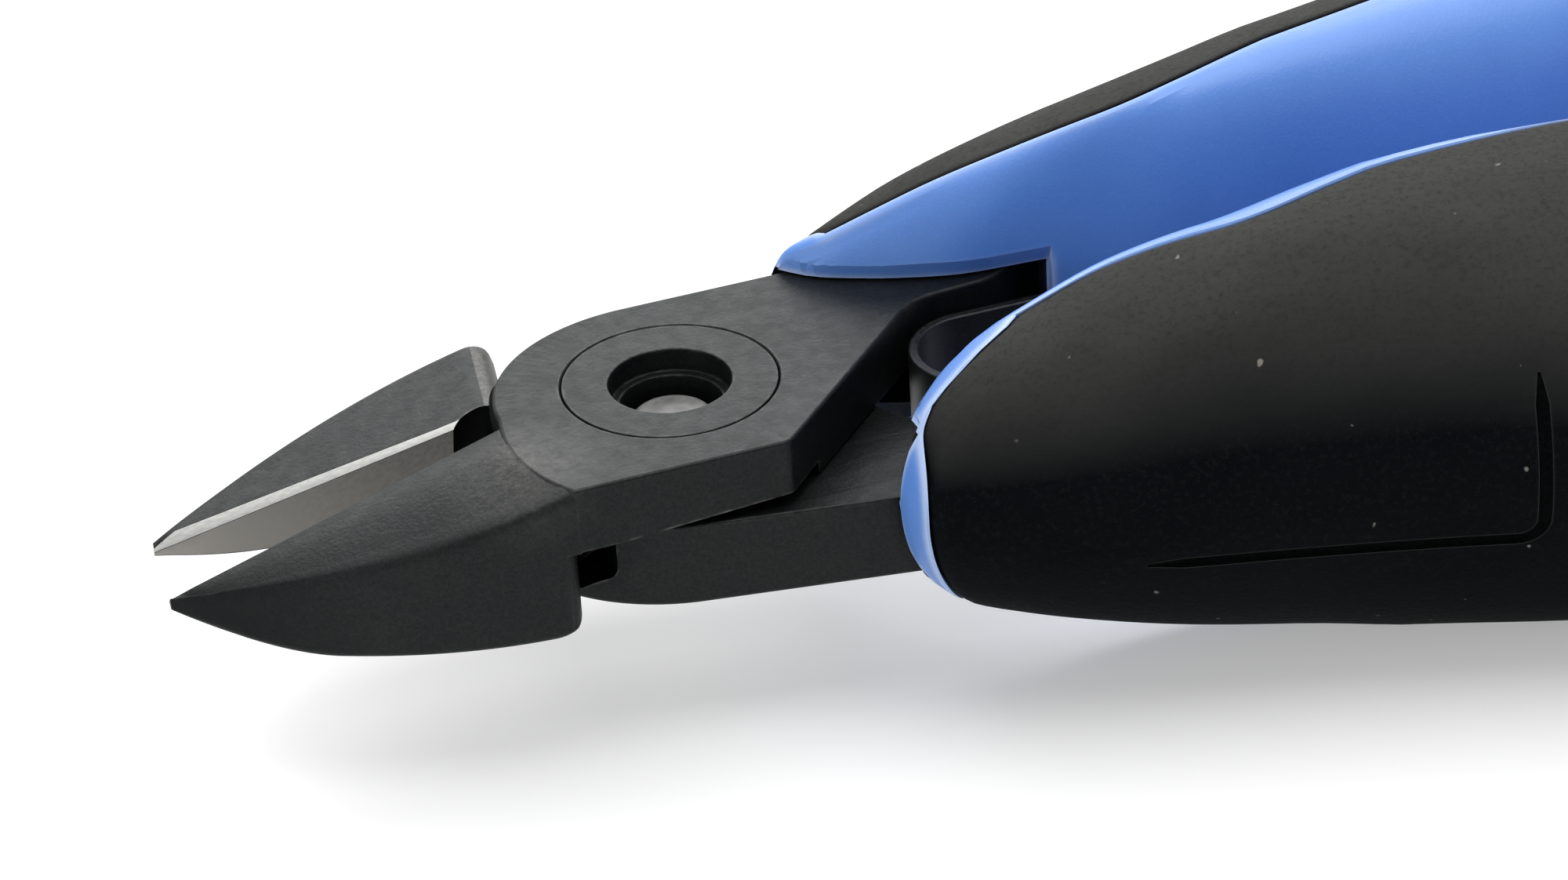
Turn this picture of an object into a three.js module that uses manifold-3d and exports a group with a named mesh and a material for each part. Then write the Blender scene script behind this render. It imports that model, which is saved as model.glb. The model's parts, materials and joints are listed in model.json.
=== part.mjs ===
// Flush cutter with cushioned grips, for electronics work.
// Millimetres, +Z up. The cutting tips point along -X and the grips along +X.
// Two steel halves are stacked in a lap joint and turn about one bolt. The upper half carries the
// jaw on the left (-Y) and the right grip (+Y). The lower half carries the other jaw and grip.
// Each half is drawn as it lies with the tips closed, its pivot at the origin, and is then turned
// open by OPEN_HALF about the pivot.

import * as THREE from 'three';
import { mergeVertices } from 'three/addons/utils/BufferGeometryUtils.js';
import Module from 'manifold-3d';

const wasm = await Module();
wasm.setup();

// ---------- driving dimensions ----------

const GAP = 0.3; // air between neighbouring pieces
const OPEN_HALF = THREE.MathUtils.degToRad(4.96); // each half's turn from closed to open

// head
const HEAD_TOP = 3.65; // half the head's thickness
const LAP_Z = 0.45; // height of the plane where the two halves lie on each other
const TIP_X = -23.3;
const SHOULDER_X = -6.3; // where a jaw's outline is full width
const UPPER_JAW = { back: -6.6, width: 7.1 }; // back face, and width from edge to shoulder
const LOWER_JAW = { back: -7.2, width: 6.7 };
const BACK_CORNER_R = 1.0; // rounding of the jaw's free back corner
const JAW_POWER = 1.94; // fullness of the jaw's outline
const JAW_TIP_WIDTH = 0.35;
const JAW_EDGE_Y = 0.03; // the closed edges stop this far from the middle
const EDGE_Z_AT_TIP = -1.57;
const EDGE_RISE = 0.305; // rise of the cutting edge per mm towards the joint
const EDGE_BEVEL = [0.5, 0.4]; // the polished strip along the edge: its width and its height
const RIDGE_FALL = 0.289; // fall of the outer ridge per mm towards the tip
const FLANK_SLOPE = 0.62; // sideways lean of the flank under the edge
const BOTTOM_FLAT_X = -17.0; // the underside rises from here to the tip
const BOTTOM_RISE = 1.8;
const BOTTOM_CHAMFER = 0.35;
const JAW_STATIONS = 14;
const THROAT_X = -8.3; // relief behind the lower half's cutting edge
const THROAT_R = 1.7;

// joint plates and tangs
const PLATE_NOSE_X = 7.9; // on the tang's side the plate's front is a quarter of an ellipse
const PLATE_HALF_WIDTH = 7.0;
const PLATE_SHOULDER = [-6.7, -7.1]; // on the jaw's side it meets the jaw at this corner
const PLATE_BULGE = [-8.9, -4.0]; // control point of the curve from the nose to that corner
const PLATE_CLEARANCE_R = 8.2; // the other half's jaw is cut back to this radius
const PLATE_CORNER_X = 3.1;
const SHOULDER_END = [12.2, 2.1]; // where the slanting inner edge meets the tang
const TANG_INNER_Y = 2.4;
const TANG_OUTER_Y = 7.2;
const TANG_NECK_X = [16.0, 18.5]; // between these the tang gets narrower
const TANG_NECK_Y = 4.0;
const TANG_END_X = 58.0;

// joint fasteners
const BOLT_HEAD_R = 4.8;
const BOLT_HEAD_DEPTH = 1.3;
const BOLT_SHANK_R = 3.5;
const BOLT_BORE_R = 2.73;
const BOLT_LEDGE_R = 2.3;
const BOLT_LEDGE_DEPTH = 1.1;
const STUD_R = 1.95;
const STUD_TOP_Z = 1.5;
const DRIVE_SLOT_WIDTH = 1.2;
const DRIVE_SLOT_DEPTH = 0.8;

// grips: stations from nose to tail of [x, half height, inner y, top line y, outer y]
const GRIP_MID_Z = LAP_Z;
const NOSE_STATIONS = {
  right: [[6.9, 4.2, 6.9, 7.3, 8.0], [8.0, 4.9, 5.6, 6.9, 8.8]],
  left: [[8.7, 4.3, 5.9, 7.0, 8.1], [9.1, 5.0, 5.2, 6.7, 8.9]],
};
const GRIP_STATIONS = [
  [9.6, 6.0, 4.6, 6.3, 9.7],
  [11.6, 7.15, 3.7, 5.8, 10.5],
  [15.0, 8.6, 2.7, 5.3, 11.3],
  [19.0, 9.6, 2.5, 4.9, 11.9],
  [25.0, 10.4, 1.4, 4.5, 12.5],
  [31.0, 10.8, 0.9, 4.8, 13.2],
  [38.0, 11.2, 0.7, 5.8, 14.3],
  [47.0, 11.3, 1.0, 7.1, 15.9],
  [58.0, 10.9, 2.2, 8.7, 17.6],
  [70.0, 10.4, 3.6, 9.4, 17.7],
  [82.0, 9.7, 4.6, 9.6, 17.0],
  [94.0, 8.9, 4.9, 9.2, 15.8],
  [104.0, 8.0, 4.8, 8.7, 14.4],
  [110.0, 6.6, 5.0, 8.4, 13.1],
  [113.0, 4.6, 5.8, 8.3, 11.8],
  [114.2, 2.4, 6.8, 8.2, 10.2],
];
const SLEEVE_END = 14; // last station that the soft sleeve covers, starting at station 0
const SLEEVE_WALL = 1.6;
const INNER_POWER = 4.0; // squareness of the grip's section on its inner side
const OUTER_POWER = 1.85; // and on its outer side
const NOSE_SWEEP = { near: 0.055, far: 0.1 }; // how far the nose leans back with height, per mm
// squared, on the side of the lap plane where its tang is and on the other side
const NOSE_SWEEP_END = 31.0;
const SIDE_STEPS = 14;
const REST_CUT = 0.3; // the underside is flattened by this much to rest on

const MOUTH_END_X = 19.0; // the nose is open on its inner side up to here
const MOUTH_HALF_HEIGHT = 3.5;
const SEAT_END_X = 28.6; // recess for the spring's legs
const SEAT_FLOOR_Y = 2.3;
const SEAT_HALF_HEIGHT = 2.3;

// fasteners in the grips
const PIN_R = 1.0;
const PIN_HALF_LENGTH = 5.5;
const PIN_Y = 5.6;
const PIN_X = { front: 36.0, rear: 52.0 };
const SPRING_SCREW_X = 25.0;
const SPRING_SCREW_R = 0.7;
const SPRING_SCREW_HEAD_R = 1.25;
const SPRING_SCREW_HEAD = [0.45, 1.15]; // y of the head's two faces
const SPRING_SCREW_END_Y = 5.0;
const SPRING_SCREW_OFFSET = 1.05; // off the lap plane, to the side that has no tang
const WIDTH_SCREW_X = 44.0;
const WIDTH_SCREW_R = 1.5;
const WIDTH_SCREW_END_Y = TANG_NECK_Y - GAP;
const WIDTH_SCREW_LENGTH = 2.6;
const HEX_R = 0.87;
const HEX_DEPTH = 1.3;

// return spring: a flat strip bent to a hairpin
const SPRING_Y = 1.75; // middle of a leg
const SPRING_THICKNESS = 0.5;
const SPRING_HALF_HEIGHT = 2.1;
const SPRING_BEND_X = 14.4;
const SPRING_END_X = 28.0;
const SPRING_BEND_STEPS = 12;

// ---------- materials ----------

const steel = new THREE.MeshStandardMaterial({ color: 0x3a3c3d, roughness: 0.45, metalness: 0.8 });
const fastenerSteel = new THREE.MeshStandardMaterial({ color: 0x46484a, roughness: 0.4, metalness: 0.85 });
const springSteel = new THREE.MeshStandardMaterial({ color: 0x6a6d70, roughness: 0.35, metalness: 0.9 });
const bluePlastic = new THREE.MeshStandardMaterial({ color: 0x3f66b5, roughness: 0.45, metalness: 0 });
const blackRubber = new THREE.MeshStandardMaterial({ color: 0x24241f, roughness: 0.85, metalness: 0 });

// ---------- solids and boolean work ----------

function solid(geometry) {
  const bare = geometry.index ? geometry.toNonIndexed() : geometry.clone();
  bare.deleteAttribute('normal');
  bare.deleteAttribute('uv');
  const merged = mergeVertices(bare, 1e-5);
  return new wasm.Manifold(new wasm.Mesh({
    numProp: 3,
    vertProperties: new Float32Array(merged.attributes.position.array),
    triVerts: new Uint32Array(merged.index.array),
  }));
}

function named(name, body, material) {
  const mesh = body.getMesh();
  const geometry = new THREE.BufferGeometry();
  geometry.setAttribute('position', new THREE.BufferAttribute(mesh.vertProperties, 3));
  geometry.setIndex(new THREE.BufferAttribute(mesh.triVerts, 1));
  const flat = geometry.toNonIndexed();
  flat.computeVertexNormals();
  const node = new THREE.Mesh(flat, material);
  node.name = name;
  return node;
}

function box(x0, x1, y0, y1, z0, z1) {
  const geometry = new THREE.BoxGeometry(x1 - x0, y1 - y0, z1 - z0);
  geometry.translate((x0 + x1) / 2, (y0 + y1) / 2, (z0 + z1) / 2);
  return solid(geometry);
}

function uprightCylinder(x, y, radius, z0, z1, segments = 32) {
  const geometry = new THREE.CylinderGeometry(radius, radius, z1 - z0, segments);
  geometry.rotateX(Math.PI / 2);
  geometry.translate(x, y, (z0 + z1) / 2);
  return solid(geometry);
}

function crossCylinder(x, z, radius, y0, y1, segments = 20) {
  const geometry = new THREE.CylinderGeometry(radius, radius, y1 - y0, segments);
  geometry.translate(x, (y0 + y1) / 2, z);
  return solid(geometry);
}

function slab(shape, z0, z1) {
  const geometry = new THREE.ExtrudeGeometry(shape, {
    depth: z1 - z0,
    bevelEnabled: false,
    curveSegments: 16,
  });
  geometry.translate(0, 0, z0);
  return solid(geometry);
}

// Skins a row of rings and closes both ends. Each ring has the same number of points, clockwise
// as seen from +X, and the row runs towards +X.
function loft(rings) {
  const count = rings[0].length;
  const positions = [];
  const triangle = (a, b, c) => positions.push(...a, ...b, ...c);
  for (let r = 0; r + 1 < rings.length; r += 1) {
    for (let i = 0; i < count; i += 1) {
      const j = (i + 1) % count;
      triangle(rings[r][i], rings[r + 1][i], rings[r + 1][j]);
      triangle(rings[r][i], rings[r + 1][j], rings[r][j]);
    }
  }
  const cap = (ring, flip) => {
    const flatRing = ring.map(([, y, z]) => new THREE.Vector2(y, z));
    for (const [a, b, c] of THREE.ShapeUtils.triangulateShape(flatRing, [])) {
      if (flip) triangle(ring[a], ring[c], ring[b]);
      else triangle(ring[a], ring[b], ring[c]);
    }
  };
  cap(rings[0], true);
  cap(rings[rings.length - 1], false);
  const geometry = new THREE.BufferGeometry();
  geometry.setAttribute('position', new THREE.Float32BufferAttribute(positions, 3));
  return solid(geometry);
}

const mirrored = (body) => body.mirror([0, 1, 0]);
const turned = (body, angle) => body.rotate([0, 0, THREE.MathUtils.radToDeg(angle)]);

// ---------- head ----------

function jawWidthAt(x, { width }) {
  const u = (x - TIP_X) / (SHOULDER_X - TIP_X);
  return width * (1 - (1 - u) ** JAW_POWER) + JAW_TIP_WIDTH * (1 - u);
}

// The jaw on the +Y side, full thickness, from its tip to its back face.
function jaw(form) {
  const rings = [];
  for (let i = 0; i <= JAW_STATIONS; i += 1) {
    const t = i / JAW_STATIONS;
    const x = TIP_X + (form.back - TIP_X) * (0.5 * t + 0.5 * t * t);
    const width = jawWidthAt(x, form);
    const edgeZ = Math.min(EDGE_Z_AT_TIP + EDGE_RISE * (x - TIP_X), HEAD_TOP - 0.2);
    const ridgeZ = HEAD_TOP - RIDGE_FALL * (SHOULDER_X - x);
    const tipward = Math.max(0, (BOTTOM_FLAT_X - x) / (BOTTOM_FLAT_X - TIP_X));
    const bottomZ = -HEAD_TOP + BOTTOM_RISE * tipward ** 1.7;
    const chamfer = Math.min(BOTTOM_CHAMFER, width * 0.35);
    const flankY = Math.min(FLANK_SLOPE * (edgeZ - bottomZ), width - chamfer - 0.1);
    const bevelY = Math.min(EDGE_BEVEL[0], width * 0.4);
    const bevelZ = Math.min(edgeZ + (EDGE_BEVEL[1] * bevelY) / EDGE_BEVEL[0], HEAD_TOP - 0.1);
    rings.push([
      [x, JAW_EDGE_Y, edgeZ],
      [x, JAW_EDGE_Y + flankY, bottomZ],
      [x, JAW_EDGE_Y + width - chamfer, bottomZ],
      [x, JAW_EDGE_Y + width, bottomZ + chamfer],
      [x, JAW_EDGE_Y + width, ridgeZ - 0.1],
      [x, JAW_EDGE_Y + width - 0.1, ridgeZ],
      [x, JAW_EDGE_Y + bevelY, bevelZ],
    ].reverse());
  }
  return loft(rings);
}

// Outline of one half's plate and tang, with the tang on the +Y side.
function plateShape() {
  const shape = new THREE.Shape();
  shape.moveTo(PLATE_CORNER_X, PLATE_SHOULDER[1]);
  shape.lineTo(SHOULDER_END[0], SHOULDER_END[1]);
  shape.quadraticCurveTo(SHOULDER_END[0] + 0.3, TANG_INNER_Y, SHOULDER_END[0] + 1.8, TANG_INNER_Y);
  shape.lineTo(TANG_NECK_X[0], TANG_INNER_Y);
  shape.lineTo(TANG_NECK_X[1], TANG_NECK_Y);
  shape.lineTo(TANG_END_X, TANG_NECK_Y);
  shape.lineTo(TANG_END_X, TANG_OUTER_Y);
  shape.lineTo(0, PLATE_HALF_WIDTH);
  shape.absellipse(0, 0, PLATE_NOSE_X, PLATE_HALF_WIDTH, Math.PI / 2, Math.PI, false);
  shape.quadraticCurveTo(...PLATE_BULGE, ...PLATE_SHOULDER);
  return shape;
}

// What is taken off the jaw on the +Y side, on the side of the lap plane where the other half's
// plate turns: the plate's sweep, everything behind the back face, and the free back corner.
function lapClearance(form, z0, z1) {
  const roundX = form.back - BACK_CORNER_R;
  const roundY = JAW_EDGE_Y + jawWidthAt(form.back, form) - BACK_CORNER_R;
  const corner = box(roundX, form.back + 1, roundY, roundY + 3, z0, z1)
    .subtract(uprightCylinder(roundX, roundY, BACK_CORNER_R, z0 - 1, z1 + 1, 32));
  return uprightCylinder(0, 0, PLATE_CLEARANCE_R, z0, z1, 48)
    .add(box(form.back, 20, -20, 20, z0, z1))
    .add(corner);
}

function pinHoles(z0, z1) {
  const holes = Object.values(PIN_X).map((x) => uprightCylinder(x, PIN_Y, PIN_R + GAP, z0, z1, 20));
  return holes[0].add(holes[1]);
}

// Upper half: plate above the lap plane, jaw on the -Y side, tang on the +Y side.
function upperHalf() {
  const floor = LAP_Z + GAP / 2;
  const body = mirrored(jaw(UPPER_JAW).subtract(lapClearance(UPPER_JAW, -HEAD_TOP - 1, floor)))
    .add(slab(plateShape(), floor, HEAD_TOP));
  return body
    .subtract(uprightCylinder(0, 0, BOLT_HEAD_R + GAP, HEAD_TOP - BOLT_HEAD_DEPTH - GAP, HEAD_TOP + 1, 48))
    .subtract(uprightCylinder(0, 0, BOLT_SHANK_R + GAP, 0, HEAD_TOP + 1, 40))
    .subtract(pinHoles(0, HEAD_TOP + 1));
}

// Lower half: plate below the lap plane, jaw on the +Y side, tang on the -Y side.
function lowerHalf() {
  const ceiling = LAP_Z - GAP / 2;
  const body = jaw(LOWER_JAW)
    .subtract(lapClearance(LOWER_JAW, ceiling, HEAD_TOP + 1))
    .subtract(uprightCylinder(THROAT_X, 0, THROAT_R, -HEAD_TOP - 1, HEAD_TOP + 1))
    .add(mirrored(slab(plateShape(), -HEAD_TOP, ceiling)));
  return body
    .subtract(uprightCylinder(0, 0, BOLT_HEAD_R + GAP, -HEAD_TOP - 1, -HEAD_TOP + BOLT_HEAD_DEPTH + GAP, 48))
    .subtract(uprightCylinder(0, 0, BOLT_SHANK_R + GAP, -HEAD_TOP - 1, 2, 40))
    .subtract(mirrored(pinHoles(-HEAD_TOP - 1, 2)));
}

// Flanged sleeve bolt, flush with the upper plate, with a stepped bore right through it.
function jointBolt() {
  const bottom = -HEAD_TOP + BOLT_HEAD_DEPTH + GAP;
  return uprightCylinder(0, 0, BOLT_HEAD_R, HEAD_TOP - BOLT_HEAD_DEPTH, HEAD_TOP, 48)
    .add(uprightCylinder(0, 0, BOLT_SHANK_R, bottom, HEAD_TOP - 0.5, 40))
    .subtract(uprightCylinder(0, 0, BOLT_BORE_R, HEAD_TOP - BOLT_LEDGE_DEPTH, HEAD_TOP + 1, 36))
    .subtract(uprightCylinder(0, 0, BOLT_LEDGE_R, bottom - 1, HEAD_TOP, 36));
}

// Lock screw: its stud fills the bolt's bore and its slotted head is flush underneath.
function jointLockScrew() {
  const headTop = -HEAD_TOP + BOLT_HEAD_DEPTH;
  return uprightCylinder(0, 0, BOLT_HEAD_R, -HEAD_TOP, headTop, 48)
    .add(uprightCylinder(0, 0, STUD_R, headTop - 0.5, STUD_TOP_Z, 32))
    .subtract(box(-6, 6, -DRIVE_SLOT_WIDTH / 2, DRIVE_SLOT_WIDTH / 2,
      -HEAD_TOP - 1, -HEAD_TOP + DRIVE_SLOT_DEPTH));
}

// ---------- grips (drawn on the +Y side) ----------

// side is +1 for the upper half's grip, whose tang is above the lap plane, and -1 for the lower's.
function placed(x, y, height, side) {
  const fade = Math.max(0, (NOSE_SWEEP_END - x) / (NOSE_SWEEP_END - GRIP_STATIONS[0][0]));
  const sweep = height * side > 0 ? NOSE_SWEEP.near : NOSE_SWEEP.far;
  return [x + sweep * fade * height * height, y, GRIP_MID_Z + height];
}

// Quarter-power curve between the top line and one side, bottom to top.
function sideCurve(x, lineY, sideY, halfHeight, power, side) {
  const points = [];
  for (let i = 0; i <= SIDE_STEPS; i += 1) {
    const angle = -Math.PI / 2 + (Math.PI * i) / SIDE_STEPS;
    const across = Math.abs(Math.cos(angle)) ** (2 / power);
    const up = Math.sign(angle) * Math.abs(Math.sin(angle)) ** (2 / power);
    const y = i === 0 || i === SIDE_STEPS ? lineY : lineY + (sideY - lineY) * across;
    points.push(placed(x, y, halfHeight * up, side));
  }
  return points;
}

function wholeRing([x, h, innerY, lineY, outerY], side) {
  const inner = sideCurve(x, lineY, innerY, h, INNER_POWER, side);
  const outer = sideCurve(x, lineY + GAP, outerY, h, OUTER_POWER, side);
  return [...inner, ...outer.reverse()];
}

function insetRing([x, h, innerY, lineY, outerY], side) {
  const inner = sideCurve(x, lineY, innerY, h, INNER_POWER, side);
  const outer = sideCurve(x, lineY, outerY - SLEEVE_WALL, h - SLEEVE_WALL, OUTER_POWER, side);
  return [...inner, ...outer.reverse()];
}

function sleeveRing([x, h, , lineY, outerY], side) {
  const outside = sideCurve(x, lineY + GAP, outerY, h, OUTER_POWER, side);
  const wall = SLEEVE_WALL - GAP;
  const inside = sideCurve(x, lineY + GAP, outerY - wall, h - wall, OUTER_POWER, side);
  return [...inside, ...outside.reverse()];
}

const shifted = ([x, ...rest], dx) => [x + dx, ...rest];

function restCut() {
  const lowest = GRIP_MID_Z - Math.max(...GRIP_STATIONS.map((station) => station[1]));
  return box(0, 130, -10, 30, lowest - 5, lowest + REST_CUT);
}

// Spaces inside a grip. side is +1 for the upper half's grip and -1 for the lower half's.
function gripHollows(side) {
  const tangZ = side > 0 ? [LAP_Z - GAP / 2, HEAD_TOP + GAP] : [-HEAD_TOP - GAP, LAP_Z + GAP / 2];
  const screwZ = GRIP_MID_Z - side * SPRING_SCREW_OFFSET;
  const mid = GRIP_MID_Z;
  return box(0, MOUTH_END_X, -5, TANG_OUTER_Y + GAP, mid - MOUTH_HALF_HEIGHT, mid + MOUTH_HALF_HEIGHT)
    .add(box(0, MOUTH_END_X, -5, TANG_OUTER_Y + GAP, tangZ[0], tangZ[1]))
    .add(box(MOUTH_END_X - 1, TANG_END_X + GAP, TANG_NECK_Y - GAP, TANG_OUTER_Y + GAP, tangZ[0], tangZ[1]))
    .add(box(MOUTH_END_X - 1, SEAT_END_X, -5, SEAT_FLOOR_Y, mid - SEAT_HALF_HEIGHT, mid + SEAT_HALF_HEIGHT))
    .add(pinHoles(mid - PIN_HALF_LENGTH - GAP, mid + PIN_HALF_LENGTH + GAP))
    .add(crossCylinder(SPRING_SCREW_X, screwZ, SPRING_SCREW_R + GAP, 0, SPRING_SCREW_END_Y + GAP))
    .add(crossCylinder(WIDTH_SCREW_X, mid, WIDTH_SCREW_R + GAP, -2, TANG_NECK_Y));
}

function gripCore(label, side) {
  const front = [...NOSE_STATIONS[label], GRIP_STATIONS[0]];
  const covered = GRIP_STATIONS.slice(0, SLEEVE_END + 1);
  const back = GRIP_STATIONS.slice(SLEEVE_END).map((station) => shifted(station, GAP));
  covered[0] = shifted(covered[0], 0.01);
  const whole = (station) => wholeRing(station, side);
  const inset = (station) => insetRing(station, side);
  const body = loft([...front.map(whole), ...covered.map(inset), ...back.map(whole)]);
  return body.subtract(restCut()).subtract(gripHollows(side));
}

function gripSleeve(side) {
  const rings = GRIP_STATIONS.slice(0, SLEEVE_END + 1);
  rings[0] = shifted(rings[0], GAP);
  return loft(rings.map((station) => sleeveRing(station, side))).subtract(restCut());
}

function tangPin(x) {
  return uprightCylinder(x, PIN_Y, PIN_R, GRIP_MID_Z - PIN_HALF_LENGTH, GRIP_MID_Z + PIN_HALF_LENGTH, 20);
}

function springScrew(side) {
  const z = GRIP_MID_Z - side * SPRING_SCREW_OFFSET;
  const [headIn, headOut] = SPRING_SCREW_HEAD;
  return crossCylinder(SPRING_SCREW_X, z, SPRING_SCREW_HEAD_R, headIn, headOut, 24)
    .add(crossCylinder(SPRING_SCREW_X, z, SPRING_SCREW_R, headOut - 0.2, SPRING_SCREW_END_Y, 16));
}

function hexagon(x, z, radius, y0, y1) {
  return crossCylinder(x, z, radius, y0, y1, 6);
}

function widthScrew() {
  const start = WIDTH_SCREW_END_Y - WIDTH_SCREW_LENGTH;
  return crossCylinder(WIDTH_SCREW_X, GRIP_MID_Z, WIDTH_SCREW_R, start, WIDTH_SCREW_END_Y, 24)
    .subtract(hexagon(WIDTH_SCREW_X, GRIP_MID_Z, HEX_R, start - 1, start + HEX_DEPTH));
}

// ---------- return spring (drawn in the open position, lying across both halves) ----------

function springOutline() {
  const turn = (x, y) => [
    x * Math.cos(OPEN_HALF) - y * Math.sin(OPEN_HALF),
    x * Math.sin(OPEN_HALF) + y * Math.cos(OPEN_HALF),
  ];
  const side = (offset) => {
    const rear = turn(SPRING_END_X, SPRING_Y + offset);
    const front = turn(SPRING_BEND_X, SPRING_Y + offset);
    const points = [rear];
    for (let i = 0; i <= SPRING_BEND_STEPS; i += 1) {
      const angle = Math.PI / 2 + (Math.PI * i) / SPRING_BEND_STEPS;
      const radius = front[1];
      points.push([front[0] + radius * Math.cos(angle), radius * Math.sin(angle)]);
    }
    points.push([rear[0], -rear[1]]);
    return points;
  };
  const outside = side(SPRING_THICKNESS / 2);
  const inside = side(-SPRING_THICKNESS / 2).reverse();
  return new THREE.Shape([...outside, ...inside].map(([x, y]) => new THREE.Vector2(x, y)));
}

function returnSpring() {
  const strip = slab(springOutline(), GRIP_MID_Z - SPRING_HALF_HEIGHT, GRIP_MID_Z + SPRING_HALF_HEIGHT);
  const hole = (side) => crossCylinder(SPRING_SCREW_X, GRIP_MID_Z - side * SPRING_SCREW_OFFSET,
    SPRING_SCREW_R + GAP, 0.5, 3.5);
  return strip
    .subtract(turned(hole(1), OPEN_HALF))
    .subtract(turned(mirrored(hole(-1)), -OPEN_HALF));
}

// ---------- assembly ----------

const tool = new THREE.Group();
const upper = new THREE.Group();
const lower = new THREE.Group();
upper.rotation.z = OPEN_HALF;
lower.rotation.z = -OPEN_HALF;
tool.add(upper, lower);

upper.add(named('upper_jaw_half', upperHalf(), steel));
lower.add(named('lower_jaw_half', lowerHalf(), steel));
lower.add(named('joint_bolt', jointBolt(), fastenerSteel));
lower.add(named('joint_lock_screw', jointLockScrew(), fastenerSteel));

for (const [group, label, side] of [[upper, 'right', 1], [lower, 'left', -1]]) {
  const hand = side > 0 ? (body) => body : mirrored;
  group.add(named(`${label}_grip_core`, hand(gripCore(label, side)), bluePlastic));
  group.add(named(`${label}_grip_sleeve`, hand(gripSleeve(side)), blackRubber));
  for (const [place, x] of Object.entries(PIN_X)) {
    group.add(named(`${label}_tang_pin_${place}`, hand(tangPin(x)), fastenerSteel));
  }
  group.add(named(`${label}_spring_screw`, hand(springScrew(side)), fastenerSteel));
  group.add(named(`${label}_width_screw`, hand(widthScrew()), fastenerSteel));
}

tool.add(named('return_spring', returnSpring(), springSteel));

// The origin is under the middle of the tool, on the surface that it lies on.
const extent = new THREE.Box3().setFromObject(tool, true);
const middle = extent.getCenter(new THREE.Vector3());
tool.position.set(-middle.x, -middle.y, -extent.min.z);

const flushCutter = new THREE.Group();
flushCutter.add(tool);

export default flushCutter;
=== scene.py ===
"""Looks of the flush cutter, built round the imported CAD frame.

Each half of the tool is drawn in its own frame, in millimetres: the tips are closed, the pivot is
the origin, x runs towards the grips, y towards the half's own tang and z up. The jaw is at -y.
place() turns that into the CAD frame, in metres, and mirrors y for the lower half.
"""
import json
import math

import bmesh
import bpy
import numpy as np
from mathutils import Matrix, Vector

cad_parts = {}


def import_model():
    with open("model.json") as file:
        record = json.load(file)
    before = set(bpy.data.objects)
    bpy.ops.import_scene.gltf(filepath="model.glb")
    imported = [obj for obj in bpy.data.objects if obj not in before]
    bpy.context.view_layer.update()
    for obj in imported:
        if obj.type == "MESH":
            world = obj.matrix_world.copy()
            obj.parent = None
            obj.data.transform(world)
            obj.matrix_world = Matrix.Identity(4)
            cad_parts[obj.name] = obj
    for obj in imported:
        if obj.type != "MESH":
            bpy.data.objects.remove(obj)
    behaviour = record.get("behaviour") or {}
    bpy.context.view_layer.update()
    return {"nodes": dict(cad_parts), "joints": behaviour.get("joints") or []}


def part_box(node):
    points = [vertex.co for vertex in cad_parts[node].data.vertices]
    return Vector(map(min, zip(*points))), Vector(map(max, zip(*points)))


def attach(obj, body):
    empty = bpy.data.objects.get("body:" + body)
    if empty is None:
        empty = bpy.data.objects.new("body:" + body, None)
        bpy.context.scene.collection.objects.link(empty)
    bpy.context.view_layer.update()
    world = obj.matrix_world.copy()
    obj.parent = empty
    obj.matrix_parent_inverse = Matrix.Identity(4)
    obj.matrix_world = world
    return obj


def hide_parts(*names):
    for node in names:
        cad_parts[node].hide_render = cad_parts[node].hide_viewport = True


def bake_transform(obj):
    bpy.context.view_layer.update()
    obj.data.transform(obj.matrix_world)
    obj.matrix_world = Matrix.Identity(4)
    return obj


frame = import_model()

MM = 0.001

# ---------- from the frame ----------

JOINTS = {joint["name"]: joint for joint in frame["joints"]}
PIVOT = Vector(JOINTS["jaw_pivot"]["pos_m"])
ACROSS = JOINTS["right_width_screw_turn"]["axis"]
OPEN_HALF = math.atan2(-ACROSS[0], ACROSS[1])
BOLT_LOW, BOLT_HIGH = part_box("joint_bolt")
HEAD_TOP = round((BOLT_HIGH.z - PIVOT.z) / MM, 3)
BOLT_R = round((BOLT_HIGH.x - BOLT_LOW.x) / 2 / MM, 3)
FLOOR_Z = -PIVOT.z / MM

UPPER, LOWER = 1, -1
BODY = {UPPER: "right_side", LOWER: "left_side"}
LABEL = {UPPER: "right", LOWER: "left"}

# marks of faces, which are places in a piece's list of materials
FORGED, BRIGHT, GROUND, HONED, SCALE = range(5)
# the second material of a grip's list is painted shade: inside the core's mouth, round its tang and in
# the sleeve's groove
PAINTED_SHADE = 1  # in the grips' two lists

# ---------- sizes, in millimetres ----------

SLIT = 0.1  # what shows between pieces that fit closely
AXIS_R = 0.0001  # where turned solids start, just off their axis
LAP_Z = 0.45
TIP_X = -23.3
SHOULDER_X = -6.3
JAW_BACK = {UPPER: -6.6, LOWER: -7.2}
CREASE_DROP = 0.02  # the upper jaw's top meets the plate this far below its face
JAW_WIDTH = {UPPER: 7.1, LOWER: 6.7}
BACK_CORNER_R = 1.0
JAW_POWER = 1.94
JAW_TIP_WIDTH = 0.35
JAW_EDGE_Y = 0.03
JAW_STATIONS = 44
TOP_STEPS = 12
EDGE_Z_AT_TIP = -1.57
EDGE_RISE = 0.305
EDGE_BEVEL = (0.5, 0.4)  # width and rise of the bright strip
BEVEL_NARROWING = (0.42, 13.0)  # how much narrower it gets, and over what length
RIDGE_FALL = 0.289
FLANK_SLOPE = 0.62
CROWN_SHARE = 0.4  # the upper jaw's top is crowned over this share of its width
BOTTOM_FLAT_X = -17.0
BOTTOM_RISE = 1.8
BOTTOM_POWER = 1.7
RIDGE_SOFT = 0.75
BACK_ROUND = 1.35  # the lower half's jaw rolls down to its back face
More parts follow.
